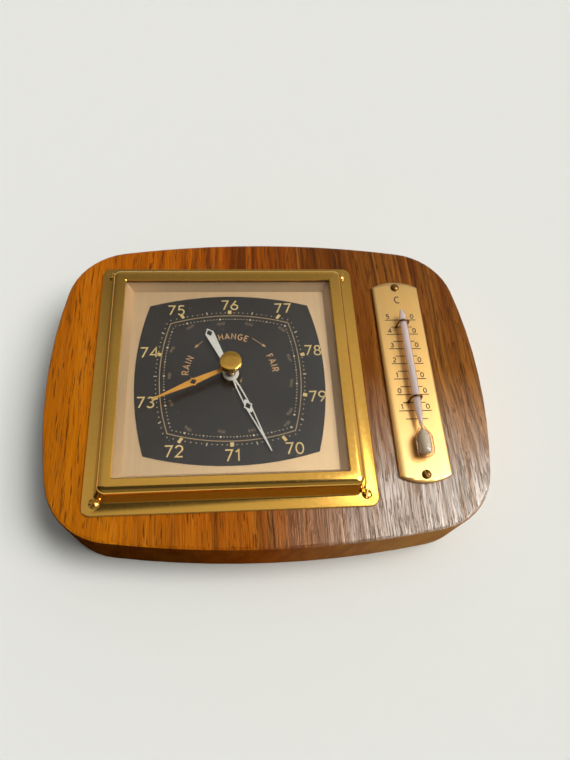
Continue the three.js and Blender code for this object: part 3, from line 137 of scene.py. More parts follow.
class Look(Nodes):
    """A material with one Principled shader, and the textures that are laid over its plain values."""

    def __init__(self, name, color, roughness, metallic=0.0, **more):
        self.material = bpy.data.materials.new(name)
        self.material.use_nodes = True
        super().__init__(self.material.node_tree)
        self.shader = self.tree.nodes["Principled BSDF"]
        self.set("Base Color", color)
        self.set("Roughness", roughness)
        self.set("Metallic", metallic)
        for socket, value in more.items():
            self.set(socket.replace("_", " "), value)
        self.coordinates = self.node("ShaderNodeTexCoord").outputs["Object"]

    def set(self, socket, value):
        self.feed(self.shader.inputs[socket], value)

    def show(self, shader):
        self.feed(self.tree.nodes["Material Output"].inputs["Surface"], shader)

    def stretched(self, scale, warp=None):
        source = self.coordinates if warp is None else self.vector_math("ADD", self.coordinates, warp)
        scale = scale if isinstance(scale, tuple) else (scale, scale, scale)
        return self.node("ShaderNodeMapping", {"Vector": source, "Scale": scale}).outputs[0]

    def noise(self, scale, detail=3.0, roughness=0.5, distortion=0.0, warp=None, output="Fac"):
        sockets = {"Vector": self.stretched(scale, warp), "Scale": 1.0, "Detail": detail,
                   "Roughness": roughness, "Distortion": distortion}
        return self.node("ShaderNodeTexNoise", sockets).outputs[output]

    def along(self, letter, start, end):
        return self.share(self.axis(self.coordinates, letter), start, end)

    def mottled(self, pattern, color, depth):
        """The colour, darker by twice the depth where the pattern is low."""
        darker = tuple(channel * (1 - 2 * depth) for channel in color[:3]) + (1.0,)
        return self.mix(self.ramp(pattern, [(0.35, 0.0), (0.65, 1.0)]), darker, color)

    def swing(self, pattern, amount):
        """The pattern as a change up and down from nothing."""
        return self.times(self.math("SUBTRACT", pattern, 0.5), amount)

    def bump(self, height, strength, distance):
        sockets = {"Height": height, "Strength": strength, "Distance": distance}
        self.set("Normal", self.node("ShaderNodeBump", sockets).outputs["Normal"])


GRAIN_WANDER = (12 * MM, 4 * MM, 0.0)
WOOD_RELIEF = 0.24 * MM


def teak():
    """Upright grain: plain orange wood on the left, browner with dark and light streaks to the right."""
    look = Look("teak", rgb(160, 90, 20), 0.4)
    wander = look.vector_math("SUBTRACT", look.noise((16, 16, 8), output="Color"), (0.5, 0.5, 0.5))
    warp = look.vector_math("MULTIPLY", wander, GRAIN_WANDER)
    across = look.along("X", BOARD_LOW.x, BOARD_HIGH.x)
    upward = look.along("Z", BOARD_LOW.z, BOARD_HIGH.z)
    plain = look.ramp(across, [(0.0, rgb(201, 124, 6)), (0.20, rgb(199, 118, 3)), (0.34, rgb(186, 105, 5)),
                               (0.50, rgb(163, 88, 7)), (0.64, rgb(118, 64, 12)), (0.78, rgb(134, 84, 28)),
                               (1.0, rgb(152, 100, 40))])
    figured = look.ramp(across, [(0.0, 0.42), (0.24, 0.5), (0.42, 0.9), (0.60, 1.0), (1.0, 1.0)])
    # broad growth bands
    bands = look.noise((120, 34, 4.5), 6.0, 0.66, 0.3, warp)
    band_tone = look.ramp(bands, [(0.34, rgb(160, 116, 80)), (0.46, rgb(218, 194, 160)),
                                  (0.56, rgb(255, 248, 232)), (0.70, rgb(255, 255, 245))])
    tone = look.mix(1.0, plain, look.mix(figured, rgb(250, 246, 236), band_tone), "MULTIPLY")
    # dark and light streaks
    dark = look.ramp(look.noise((330, 90, 7), 5.0, 0.6, 0.5, warp), [(0.48, 0.0), (0.62, 1.0)])
    tone = look.mix(look.times(dark, look.times(figured, figured), 0.9), tone, rgb(70, 34, 10))
    light = look.ramp(look.noise((460, 120, 12), 4.0, 0.6, 0.4, warp), [(0.54, 0.0), (0.68, 1.0)])
    tone = look.mix(look.times(light, figured, 0.45), tone, rgb(206, 136, 56))
    # short and long dark pores, and fine fibres along the grain
    short_pores = look.ramp(look.noise((1700, 1700, 120), 2.0, 0.55, 0.2, warp), [(0.60, 0.0), (0.68, 1.0)])
    long_pores = look.ramp(look.noise((1100, 1100, 90), 2.0, 0.55, 0.2, warp), [(0.61, 0.0), (0.68, 1.0)])
    holes = look.math("MAXIMUM", look.times(short_pores, 0.6), look.times(long_pores, 0.9))
    tone = look.mix(look.times(holes, 0.85), tone, rgb(72, 36, 8))
    fibres = look.noise((2400, 2400, 60), 3.0, 0.6)
    fibre_tone = look.ramp(fibres, [(0.3, rgb(222, 214, 206)), (0.66, rgb(255, 255, 255))])
    tone = look.mix(1.0, tone, fibre_tone, "MULTIPLY")
    tone = look.mix(1.0, tone, look.mix(upward, rgb(255, 252, 246), rgb(248, 230, 212)), "MULTIPLY")
    # the sides of the board have a tone of their own with painted shade in it, dark on the left and paler
    # towards the lamp on the right, and no gloss
    outward = look.axis(look.node("ShaderNodeTexCoord").outputs["Normal"], "Y")
    face = look.ramp(look.times(outward, -1.0), [(0.30, 0.0), (0.85, 1.0)])
    side = look.ramp(across, [(0.0, rgb(79, 42, 8)), (0.3, rgb(96, 50, 10)), (0.5, rgb(147, 76, 18)),
                              (0.8, rgb(190, 124, 48)), (1.0, rgb(198, 134, 58))])
    tone = look.mix(face, look.mix(0.6, side, look.mix(1.0, side, band_tone, "MULTIPLY")), tone)
    # a sheen in fine strokes at the lower right: stronger gloss there, and a painted sheen that turns the base
    # colour greyer beige
    rightmost = look.ramp(across, [(0.46, 0.0), (0.74, 1.0)])
    lowest = look.ramp(upward, [(0.18, 1.0), (0.52, 0.0)])
    sheen = look.times(rightmost, lowest)
    # painted sheen: greyer beige in the base colour where the sheen lies
    look.set("Base Color", look.mix(look.times(sheen, 0.4), tone, rgb(150, 124, 92)))
    strokes = look.ramp(look.noise((760, 760, 44), 3.0, 0.6, 0.3, warp), [(0.40, 0.35), (0.62, 1.7)])
    gloss = look.math("ADD", look.times(sheen, strokes, 1.2), 0.5)
    look.set("Specular IOR Level", look.times(face, gloss))
    look.set("Specular Tint", look.mix(sheen, rgb(255, 180, 90), rgb(255, 252, 246)))
    open_grain = look.math("ADD", bands, look.times(holes, 0.4))
    look.set("Roughness", look.ramp(open_grain, [(0.3, 0.32), (1.0, 0.52)]))
    ridges = look.noise((1000, 1000, 70), 3.0, 0.6, 0.2, warp)
    raised = look.math("ADD", ridges, look.times(fibres, 0.3))
    look.bump(look.math("SUBTRACT", raised, holes), 0.9, WOOD_RELIEF)
    return look.material


METAL_RELIEF = 0.03 * MM
PAINT_RELIEF = 0.04 * MM
SATIN_BLEND = 0.4 * MM
LEAST_ROUGHNESS = 0.05


def metal(name, color, roughness, brushed, streak, stain, stain_share, bump=0.04, satin_at=None, metallic=1.0,
          **more):
    """Metal with a fine finish drawn along one direction and soft clouds of tarnish.

    `satin_at` gives a level and a roughness for the parts that lie further back than that level.
    """
    look = Look(name, color, roughness, metallic, **more)
    grain = look.noise(brushed, 4.0, 0.6)
    cloud = look.noise(45, 3.0, 0.55)
    spots = look.ramp(cloud, [(0.50, 0.0), (0.74, stain_share)])
    look.set("Base Color", look.mix(spots, look.mottled(grain, color, streak), stain))
    level = roughness
    if satin_at is not None:
        face, satin = satin_at
        forward = look.along("Y", face + SATIN_BLEND, face - SATIN_BLEND)
        level = look.ramp(forward, [(0.0, satin), (1.0, roughness)])
    worn = look.math("ADD", look.swing(grain, 0.12), level)
    rough = look.math("ADD", look.swing(cloud, 0.10), worn)
    look.set("Roughness", look.math("MAXIMUM", rough, LEAST_ROUGHNESS))
    look.bump(grain, bump, METAL_RELIEF)
    return look.material


def paint(name, color, roughness, fleck=None, fleck_share=0.0, cloud_depth=0.08, **more):
    """A painted or printed coat with faint clouds, and specks of dust or worn spots."""
    look = Look(name, color, roughness, **more)
    cloud = look.noise(140, 4.0, 0.6)
    tone = look.mottled(cloud, color, cloud_depth)
    if fleck is not None:
        cells = look.node("ShaderNodeTexVoronoi", {"Vector": look.stretched(420), "Scale": 1.0})
        specks = look.ramp(cells.outputs["Distance"], [(0.05, 1.0), (0.10, 0.0)])
        sparse = look.ramp(look.noise(260, 1.0), [(0.60, 0.0), (0.64, 1.0)])
        tone = look.mix(look.times(specks, sparse, fleck_share), tone, fleck)
    look.set("Base Color", tone)
    look.set("Roughness", look.math("ADD", look.times(cloud, 0.16), roughness - 0.08))
    look.bump(look.noise(1400, 2.0), 0.02, PAINT_RELIEF)
    return look.material


GLASS_ROUGHNESS = 0.02
MILK_BLEND = 1.0 * MM


def glass(name, tint, ior, veil=0.0, most=1.0, edge=None, milk=None):
    """Thin clear glass: it lets the light through, mirrors at its face, and carries a `veil` of dust.

    `most` limits the mirroring at the glass's edges, where thick glass bends light more than it mirrors it,
    and `edge` is a painted colour there for the light that the glass bends in from behind it.
    `milk` is a colour and the height above which the glass is milky.
    """
    look = Look(name, tint, GLASS_ROUGHNESS)
    look.tree.nodes.remove(look.shader)

    def shader(kind, color, **sockets):
        return look.node("ShaderNodeBsdf" + kind, {"Color": color, **sockets}).outputs[0]

    aslant = look.node("ShaderNodeLayerWeight", {"Blend": 0.5}).outputs["Facing"]
    # painted refraction: at the glass's edges the see-through colour turns to `edge`, in place of light bent in
    # from behind
    if edge is not None:
        tint = look.mix(look.ramp(aslant, [(0.45, 0.0), (0.8, 1.0)]), tint, edge)
    inside = shader("Transparent", tint)
    if milk is not None:
        color, height = milk
        cloudy = look.shader_mix(0.5, shader("Diffuse", color), shader("Translucent", color))
        upward = look.along("Z", height - MILK_BLEND, height + MILK_BLEND)
        above = look.ramp(upward, [(0.0, 0.06), (1.0, 0.8)])
        square_on = look.ramp(aslant, [(0.4, 1.0), (0.75, 0.2)])
        inside = look.shader_mix(look.times(above, square_on), inside, cloudy)
    mirrored = look.math("MINIMUM", look.node("ShaderNodeFresnel", {"IOR": ior}).outputs[0], most)
    seen = look.shader_mix(mirrored, inside, shader("Glossy", (1, 1, 1, 1), Roughness=GLASS_ROUGHNESS))
    smear = look.ramp(look.noise(60, 5.0, 0.65), [(0.35, 0.0), (0.75, 1.0)])
    look.show(look.shader_mix(look.times(smear, veil), seen, shader("Diffuse", rgb(225, 220, 210))))
    return look.material


def looks(make, rows):
    """A material for each row, under its own name."""
    return {name: make(name, **values) for name, values in rows.items()}


LOOKS = {
    "teak": teak(),
    **looks(metal, {
        "polished_brass": dict(color=rgb(232, 176, 72), roughness=0.10, brushed=700, streak=0.03,
                               stain=rgb(190, 132, 50), stain_share=0.2, bump=0.01,
                               satin_at=(FLANGE_FACE, 0.18), Coat_Weight=0.4, Coat_Roughness=0.2),
        "plate_brass": dict(color=rgb(218, 170, 88), roughness=0.36, brushed=(2400, 2400, 30), streak=0.03,
                            stain=rgb(214, 160, 72), stain_share=0.3,
                            Coat_Weight=0.9, Coat_Roughness=0.25, Coat_IOR=1.8),
        "dark_bronze": dict(color=rgb(140, 104, 52), roughness=0.32, brushed=900, streak=0.12,
                            stain=rgb(70, 42, 18), stain_share=0.7),
        "champagne_metal": dict(color=rgb(230, 196, 150), roughness=0.44, brushed=(2600, 2600, 24),
                                streak=0.04, stain=rgb(190, 160, 124), stain_share=0.25, metallic=0.6),
        "movement_brass": dict(color=rgb(214, 170, 90), roughness=0.34, brushed=900, streak=0.08,
                               stain=rgb(140, 96, 44), stain_share=0.5),
        "movement_steel": dict(color=rgb(170, 168, 164), roughness=0.36, brushed=1200, streak=0.08,
                               stain=rgb(104, 84, 66), stain_share=0.4),
        "nickel_silver": dict(color=rgb(196, 192, 180), roughness=0.38, brushed=1200, streak=0.06,
                              stain=rgb(150, 136, 112), stain_share=0.4),
    }),
    **looks(paint, {
        "dial_black": dict(color=rgb(34, 26, 16), roughness=0.42, fleck=rgb(150, 145, 130), fleck_share=0.8,
                           cloud_depth=0.12, Specular_IOR_Level=0.3),
        "hand_white": dict(color=rgb(236, 232, 222), roughness=0.45, fleck=rgb(150, 140, 120),
                           fleck_share=0.5),
        "hand_gold": dict(color=rgb(214, 150, 56), roughness=0.36, fleck=rgb(130, 80, 30), fleck_share=0.6,
                          cloud_depth=0.14),
        "fluid_grey": dict(color=rgb(206, 196, 172), roughness=0.5, Specular_IOR_Level=0.3),
    }),
    "clear_glass": glass("clear_glass", (0.99, 0.99, 0.98, 1.0), ior=1.38, veil=0.01),
}
OWN_LOOKS = {
    # the tube's gold edge is painted refraction: the brass plate behind it, seen bent through the glass
    "thermometer_tube": glass("tube_glass", (0.98, 0.96, 0.93, 1.0), ior=1.42, most=0.22,
                              edge=rgb(196, 150, 84), milk=(rgb(250, 240, 240), MILK_HEIGHT)),
}
PRINTS = looks(paint, {
    "print_gold": dict(color=rgb(238, 206, 132), roughness=0.4, fleck=rgb(170, 130, 70), fleck_share=0.5,
                       cloud_depth=0.10),
    "print_copper": dict(color=rgb(222, 170, 112), roughness=0.42, fleck=rgb(130, 96, 60), fleck_share=0.5,
                         cloud_depth=0.12),
    "print_faint": dict(color=rgb(150, 124, 90), roughness=0.42, fleck=rgb(100, 80, 60), fleck_share=0.5,
                        cloud_depth=0.12),
    "print_line": dict(color=rgb(184, 154, 106), roughness=0.42, fleck=rgb(130, 110, 80), fleck_share=0.5,
                       cloud_depth=0.12),
    "print_dots": dict(color=rgb(230, 210, 170), roughness=0.42, fleck=rgb(130, 110, 80), fleck_share=0.3,
                       cloud_depth=0.12),
    "print_dark": dict(color=rgb(46, 26, 8), roughness=0.5, fleck=rgb(110, 76, 34), fleck_share=0.4,
                       cloud_depth=0.14),
})


# CAD nodes: a material each, smooth shading between sharp edges, and a fine bevel, in mm, on a few of them

SMOOTH_ANGLE = radians(35)
WELD_DISTANCE = 0.002 * MM
EDGE_BEVEL = {"glass": 0.12, "set_hand": 0.07, "indicator_hand": 0.05, "thermometer_plate": 0.06}
BEVEL_SEGMENTS = 2


def smooth_node(piece, bevel):
    mesh = piece.data
    custom = mesh.attributes.get("custom_normal")
    if custom is not None:
        mesh.attributes.remove(custom)
    mesh.polygons.foreach_set("use_smooth", [True] * len(mesh.polygons))
    piece.modifiers.new("weld", "WELD").merge_threshold = WELD_DISTANCE
    if bevel:
        edge = piece.modifiers.new("edges", "BEVEL")
        edge.width = bevel * MM
        edge.segments = BEVEL_SEGMENTS
        edge.limit_method = "ANGLE"
        edge.angle_limit = SMOOTH_ANGLE
        edge.use_clamp_overlap = True
    piece.modifiers.new("split", "EDGE_SPLIT").split_angle = SMOOTH_ANGLE
    piece.modifiers.new("normals", "WEIGHTED_NORMAL").keep_sharp = True


for part in frame["record"]["subparts"]:
    piece = frame["nodes"][part["node"]]
    piece.data.materials.clear()
    piece.data.materials.append(OWN_LOOKS.get(part["node"]) or LOOKS[part["material_slot"]])
for name, piece in frame["nodes"].items():
    smooth_node(piece, EDGE_BEVEL.get(name, 0.0))


# Printed marks are thin closed prisms just clear of the face that they are printed on

PRINT_GAP = 0.01 * MM
PRINT_THICKNESS = 0.03 * MM
DOT_SIDES = 8
LEAST_MITRE = 0.5
SAME_POINT = 1e-6


class Print:
    """Gathers flat outlines on a face that looks along -Y, and makes one piece of them."""

    def __init__(self, origin):
        self.origin = origin
        self.mesh = bmesh.new()

    def outline(self, points):
        """A prism over a convex or simple outline, given anticlockwise seen from the front."""
        x0, face, z0 = self.origin
        back = face - PRINT_GAP
        rear, lead = ([self.mesh.verts.new((x0 + x * MM, level, z0 + y * MM)) for x, y in points]
                      for level in (back, back - PRINT_THICKNESS))
        self.mesh.faces.new(lead)
        self.mesh.faces.new(rear[::-1])
        for i in range(len(points)):
            j = (i + 1) % len(points)
            self.mesh.faces.new((rear[i], rear[j], lead[j], lead[i]))

    def dot(self, x, y, radius):
        turns = [tau * i / DOT_SIDES for i in range(DOT_SIDES)]
        self.outline([(x + radius * cos(turn), y + radius * sin(turn)) for turn in turns])

    def bar(self, x, y, angle, length, width):
        """A bar whose middle is at x, y and whose length runs along the angle, anticlockwise from right."""
        ux, uy = cos(angle) * length / 2, sin(angle) * length / 2
        vx, vy = -sin(angle) * width / 2, cos(angle) * width / 2
        self.outline([(x - ux - vx, y - uy - vy), (x + ux - vx, y + uy - vy), (x + ux + vx, y + uy + vy),
                      (x - ux + vx, y - uy + vy)])

    def stroke(self, points, width, closed=False):
        """A line of even width along the points, mitred at its corners."""
        count = len(points)
        half = width / 2
        left, right = [], []
        for i, (x, y) in enumerate(points):
            directions = []
            if i or closed:
                before = points[i - 1]
                directions.append(Vector((x - before[0], y - before[1])).normalized())
            if i + 1 < count or closed:
                after = points[(i + 1) % count]
                directions.append(Vector((after[0] - x, after[1] - y)).normalized())
            tangent = sum(directions, Vector((0, 0)))
            tangent = tangent.normalized() if tangent.length > SAME_POINT else directions[0]
            normal = Vector((-tangent.y, tangent.x))
            mitre = normal.dot(Vector((-directions[0].y, directions[0].x)))
            reach = half / max(LEAST_MITRE, mitre)
            left.append((x + normal.x * reach, y + normal.y * reach))
            right.append((x - normal.x * reach, y - normal.y * reach))
        for i in range(count if closed else count - 1):
            j = (i + 1) % count
            self.outline([right[i], right[j], left[j], left[i]])

    def piece(self, name, look, slot, body="case"):
        bmesh.ops.recalc_face_normals(self.mesh, faces=self.mesh.faces)
        data = bpy.data.meshes.new(name)
        self.mesh.to_mesh(data)
        self.mesh.free()
        data.materials.append(PRINTS[look])
        made = bpy.data.objects.new(name, data)
        bpy.context.scene.collection.objects.link(made)
        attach(made, body)


# Figures and letters are drawn as strokes in a box one unit high: each has its box's width and its strokes

def arc(x, y, radius_x, radius_y, start, end, steps):
    angles = [radians(start + (end - start) * i / steps) for i in range(steps + 1)]
    return [(x + radius_x * cos(a), y + radius_y * sin(a)) for a in angles]


GLYPHS = {
    "0": (0.60, [arc(0.30, 0.50, 0.28, 0.46, 90, 450, 20)]),
    "1": (0.34, [[(0.04, 0.78), (0.26, 0.97), (0.26, 0.04)]]),
    "2": (0.60, [arc(0.30, 0.70, 0.26, 0.26, 165, -35, 9) + [(0.06, 0.04), (0.58, 0.04)]]),
    "3": (0.58, [arc(0.27, 0.74, 0.22, 0.22, 150, -80, 9) + arc(0.27, 0.28, 0.26, 0.24, 80, -150, 10)]),
    "4": (0.68, [[(0.48, 0.04), (0.48, 0.97), (0.04, 0.28), (0.66, 0.28)]]),
    "5": (0.60, [[(0.54, 0.96), (0.16, 0.96), (0.11, 0.56)] + arc(0.28, 0.32, 0.27, 0.28, 118, -140, 11)]),
    "6": (0.60, [[(0.46, 0.97), (0.08, 0.44)], arc(0.31, 0.30, 0.27, 0.26, 0, 360, 18)]),
    "7": (0.60, [[(0.03, 0.96), (0.57, 0.96), (0.20, 0.03)]]),
    "8": (0.58, [arc(0.29, 0.74, 0.21, 0.22, 0, 360, 16), arc(0.29, 0.27, 0.26, 0.24, 0, 360, 18)]),
    "9": (0.60, [[(0.14, 0.03), (0.52, 0.56)], arc(0.29, 0.70, 0.27, 0.26, 0, 360, 18)]),
    "A": (0.70, [[(0.02, 0.03), (0.35, 0.97), (0.68, 0.03)], [(0.14, 0.32), (0.56, 0.32)]]),
    "C": (0.66, [arc(0.38, 0.50, 0.33, 0.46, 48, 312, 14)]),
    "E": (0.54, [[(0.52, 0.95), (0.06, 0.95), (0.06, 0.05), (0.52, 0.05)], [(0.06, 0.50), (0.44, 0.50)]]),
    "F": (0.52, [[(0.50, 0.95), (0.06, 0.95), (0.06, 0.03)], [(0.06, 0.50), (0.42, 0.50)]]),
    "G": (0.72, [arc(0.38, 0.50, 0.33, 0.46, 48, 330, 14) + [(0.68, 0.44), (0.42, 0.44)]]),
    "H": (0.66, [[(0.06, 0.97), (0.06, 0.03)], [(0.60, 0.97), (0.60, 0.03)], [(0.06, 0.50), (0.60, 0.50)]]),
    "I": (0.12, [[(0.06, 0.97), (0.06, 0.03)]]),
    "N": (0.68, [[(0.06, 0.03), (0.06, 0.97), (0.62, 0.03), (0.62, 0.97)]]),
    "R": (0.62, [[(0.06, 0.03), (0.06, 0.95), (0.34, 0.95)] + arc(0.34, 0.71, 0.22, 0.24, 90, -90, 8)
                 + [(0.06, 0.47)], [(0.32, 0.47), (0.58, 0.03)]]),
}
LETTER_GAP = 0.20


def glyph(target, character, x, y, height, width, turn, spread=1.0):
    """One character with its middle at x, y, turned anticlockwise, in strokes of the given width."""
    box, strokes = GLYPHS[character]
    for points in strokes:
        closed = hypot(points[0][0] - points[-1][0], points[0][1] - points[-1][1]) < SAME_POINT
        placed = []
        for px, py in points[:-1] if closed else points:
            sx, sy = (px - box / 2) * height * spread, (py - 0.5) * height
            placed.append((x + sx * cos(turn) - sy * sin(turn), y + sx * sin(turn) + sy * cos(turn)))
        target.stroke(placed, width, closed)


def letter_places(text, height, gap, spread=1.0):
    """Each character with the distance of its middle from the middle of the text."""
    boxes = [GLYPHS[c][0] * height * spread for c in text]
    at = -(sum(boxes) + gap * (len(text) - 1)) / 2
    for character, box in zip(text, boxes):
        yield character, at + box / 2
        at += box + gap


def line_of_text(target, text, x, y, height, width, turn=0.0, spread=1.0):
    for character, middle in letter_places(text, height, LETTER_GAP * height, spread):
        glyph(target, character, x + middle * cos(turn), y + middle * sin(turn), height, width, turn, spread)


def text_on_arc(target, text, clock, radius, height, width, spacing):
    """Letters round the dial, tops outward, centred on a clock angle in degrees."""
    for character, middle in letter_places(text, height, spacing * height):
        angle = radians(clock) + middle / radius
        glyph(target, character, radius * sin(angle), radius * cos(angle), height, width, -angle)


# Dial: a printed line with bowed sides, and scales that follow it. Clock angles are in degrees from the top

LINE_MIDDLE = 26.9
LINE_CORNER = 23.35
LINE_WIDTH = 0.34
LINE_POINTS = 96

NUMBER_PLACES = {"75": (-21.3, 29.7), "76": (0.0, 32.0), "77": (21.5, 30.4), "78": (32.35, 10.5),
                 "79": (32.7, -9.65), "70": (22.55, -30.3), "71": (0.0, -32.35), "72": (-20.8, -30.2),
                 "73": (-31.6, -10.8), "74": (-31.1, 10.4)}
NUMBER = dict(height=4.5, width=0.56, spread=1.06)
BLOCK_PLACES = ((0, 28.6), (19.5, 26.3), (28.2, 8.7), (27.95, -8.9), (19.1, -26.4), (0, -28.2),
                (-18.6, -26.1), (-28.0, -9.1), (-27.3, 9.5), (-18.9, 26.8))
CORNER_FROM = 12
CORNER_BLOCK = dict(length=2.2, width=1.15)
SIDE_BLOCK = dict(length=1.6, width=1.4)

TENTHS = 100
CLOCK_PER_TENTH = 360 / TENTHS
HALF_OUT = 1.55
HALF_BAR = dict(length=1.2, width=0.36)
TENTH_OUT = 1.4
TENTH_DOT = 0.2

CLOCK_PER_MBAR = 2.7
MBAR_AT_TOP = 1013.25
MBAR_RANGE = range(930, 1061)
MBAR_IN = 1.65
MBAR_DOTS = {10: 0.42, 5: 0.3, 1: 0.2}
MBAR_LABEL_IN = 2.1
MBAR_LABEL = dict(height=1.2, width=0.16)
UPRIGHT_ABOVE = -0.25

WORDS = (("RAIN", -75, 0.34), ("CHANGE", 0, 0.30), ("FAIR", 72.5, 0.34))
WORD_RADIUS = 17.3
WORD_HEIGHT = 2.6
WORD_WIDTH = 0.42
ARROWS = (((-10.6, 15.3), (-13.9, 12.15)), ((8.6, 16.4), (14.0, 12.2)))
ARROW_WIDTH = 0.2
ARROW_HEAD_LENGTH = 1.7
ARROW_HEAD_HALF = 0.6


def on_line(clock, offset=0.0):
    """Distance from the dial's middle to the printed line at a clock angle, or to a curve offset from it."""
    rise = LINE_MIDDLE - LINE_CORNER
    bow = (LINE_CORNER * LINE_CORNER + rise * rise) / (2 * rise)
    centre = LINE_MIDDLE - bow
    bow += offset
    nearest = (radians(clock) + pi / 4) % (pi / 2) - pi / 4
    return centre * cos(nearest) + sqrt(centre * centre * cos(nearest) ** 2 - centre * centre + bow * bow)


def on_dial(clock, radius):
    return radius * sin(radians(clock)), radius * cos(radians(clock))


def dial_numbers():
    numbers = Print(DIAL_FRONT)
    for text, (x, y) in NUMBER_PLACES.items():
        line_of_text(numbers, text, x, y, **NUMBER)
    for x, y in BLOCK_PLACES:
        numbers.bar(x, y, atan2(y, x), **(CORNER_BLOCK if min(abs(x), abs(y)) > CORNER_FROM else SIDE_BLOCK))
    numbers.piece("dial_numbers", "print_gold", "hand_gold")


def dial_line():
    line = Print(DIAL_FRONT)
    clocks = [45 + 360 * i / LINE_POINTS for i in range(LINE_POINTS)]
    points = [on_dial(clock, on_line(clock)) for clock in clocks]
    line.stroke(points[::-1], LINE_WIDTH, closed=True)
    line.piece("dial_line", "print_line", "hand_gold")


def dial_tenths():
    """Dots for the tenths outside the line, bars for the halves, and nothing where the blocks are."""
    tenths = Print(DIAL_FRONT)
    for tenth in range(TENTHS):
        clock = tenth * CLOCK_PER_TENTH
        if tenth % 10 == 0:
            continue
        if tenth % 5 == 0:
            x, y = on_dial(clock, on_line(clock, HALF_OUT))
            tenths.bar(x, y, atan2(y, x), **HALF_BAR)
        else:
            tenths.dot(*on_dial(clock, on_line(clock, TENTH_OUT)), TENTH_DOT)
    tenths.piece("dial_tenths", "print_dots", "hand_gold")


def dial_millibars():
    """Dots inside the line, larger at fives and tens, with small labels at the tens that all read upright."""
    millibars = Print(DIAL_FRONT)
    labels = Print(DIAL_FRONT)
    for mbar in MBAR_RANGE:
        clock = (mbar - MBAR_AT_TOP) * CLOCK_PER_MBAR
        radius = on_line(clock, -MBAR_IN)
        size = next(size for step, size in MBAR_DOTS.items() if mbar % step == 0)
        millibars.dot(*on_dial(clock, radius), size)
        if mbar % 10 == 0:
            x, y = on_dial(clock, radius - MBAR_LABEL_IN)
            upright = cos(radians(clock)) > UPRIGHT_ABOVE
            turn = -radians(clock) if upright else pi - radians(clock)
            line_of_text(labels, str(mbar), x, y, turn=turn, **MBAR_LABEL)
    millibars.piece("dial_millibars", "print_dots", "hand_gold")
    labels.piece("dial_millibar_labels", "print_faint", "hand_gold")


def dial_words():
    """The weather on an arc, and an arrow on each side of the middle word."""
    words = Print(DIAL_FRONT)
    for text, clock, spacing in WORDS:
        text_on_arc(words, text, clock, WORD_RADIUS, WORD_HEIGHT, WORD_WIDTH, spacing)
    for tail, head in ARROWS:
        run = Vector((head[0] - tail[0], head[1] - tail[1])).normalized()
        side = Vector((-run.y, run.x)) * ARROW_HEAD_HALF
        neck = Vector(head) - run * ARROW_HEAD_LENGTH
        words.stroke([tail, tuple(neck)], ARROW_WIDTH)
        words.outline([tuple(neck - side), head, tuple(neck + side)])
    words.piece("dial_words", "print_copper", "hand_gold")


# Thermometer's plate: a bar at every five degrees, and numbers at both sides of the tube at every ten

ZERO_HEIGHT = -9.1
HEIGHT_PER_DEGREE = 0.684
DEGREES = range(-15, 51, 5)
LONG_BAR = 13.0
SHORT_BAR = 8.8
BAR_WIDTH = 0.36
DIGIT_SIDE = 5.1
DIGIT_ABOVE = 1.75
DIGIT = dict(height=2.1, width=0.38)
UNIT_HEIGHT = 35.1
UNIT = dict(height=3.4, width=0.46)


def thermometer_scale():
    marks = Print(PLATE_FRONT)
    line_of_text(marks, "C", 0, UNIT_HEIGHT, **UNIT)
    for degrees in DEGREES:
        y = ZERO_HEIGHT + degrees * HEIGHT_PER_DEGREE
        numbered = degrees % 10 == 0
        marks.bar(0, y, 0, LONG_BAR if numbered else SHORT_BAR, BAR_WIDTH)
        if numbered:
            line_of_text(marks, str(abs(degrees) // 10), -DIGIT_SIDE, y + DIGIT_ABOVE, **DIGIT)
            line_of_text(marks, "0", DIGIT_SIDE, y + DIGIT_ABOVE, **DIGIT)
    marks.piece("thermometer_scale", "print_dark", "dark_bronze")


dial_numbers()
dial_line()
dial_tenths()
dial_millibars()
dial_words()
thermometer_scale()


# Stage: a pale wall that is seen only from the front, so that the back of the board shows from behind

WALL_COLOR = rgb(230, 231, 225)
PAGE_COLOR = rgb(230, 230, 222)
WALL_BEHIND = 0.5 * MM
HOLE_SHARE = 0.98
WALL_SHARE = 40
RIM_DEPTH = 0.1 * MM
RIM_DIRECTIONS = 120
SAME_CORNER = 0.2 * MM


def board_rim():
    """Corners of the board's back, in order round its outline."""
    back = [corner.co for corner in frame["nodes"]["case_board"].data.vertices if corner.co.y > -RIM_DEPTH]
    rim = []
    for step in range(RIM_DIRECTIONS):
        turn = tau * step / RIM_DIRECTIONS
        farthest = max(back, key=lambda spot: spot.x * cos(turn) + spot.z * sin(turn))
        if not rim or (farthest - rim[-1]).length > SAME_CORNER:
            rim.append(farthest.copy())
    if (rim[0] - rim[-1]).length < SAME_CORNER:
        rim.pop()
    return rim


def stage_wall():
    """A pale wall in the colour of the photograph's page, open behind the board so that its back is lit."""
    rim = board_rim()
    middle = (BOARD_LOW + BOARD_HIGH) / 2

    def loop(share):
        return [(middle.x + (spot.x - middle.x) * share, WALL_BEHIND, middle.z + (spot.z - middle.z) * share)
                for spot in rim]

    count = len(rim)
    faces = [(count + i, count + (i + 1) % count, (i + 1) % count, i) for i in range(count)]
    mesh = bpy.data.meshes.new("wall")
    mesh.from_pydata(loop(HOLE_SHARE) + loop(WALL_SHARE), [], faces)
    wall = bpy.data.objects.new("wall", mesh)
    bpy.context.scene.collection.objects.link(wall)
    look = Look("wall", WALL_COLOR, 1.0, Specular_IOR_Level=0.0)
    behind = look.node("ShaderNodeNewGeometry").outputs["Backfacing"]
    clear = look.node("ShaderNodeBsdfTransparent").outputs[0]
    look.show(look.shader_mix(behind, look.shader.outputs[0], clear))
    mesh.materials.append(look.material)


# Light: a broad soft lamp from the right, one behind the wall for the board's back, and a room

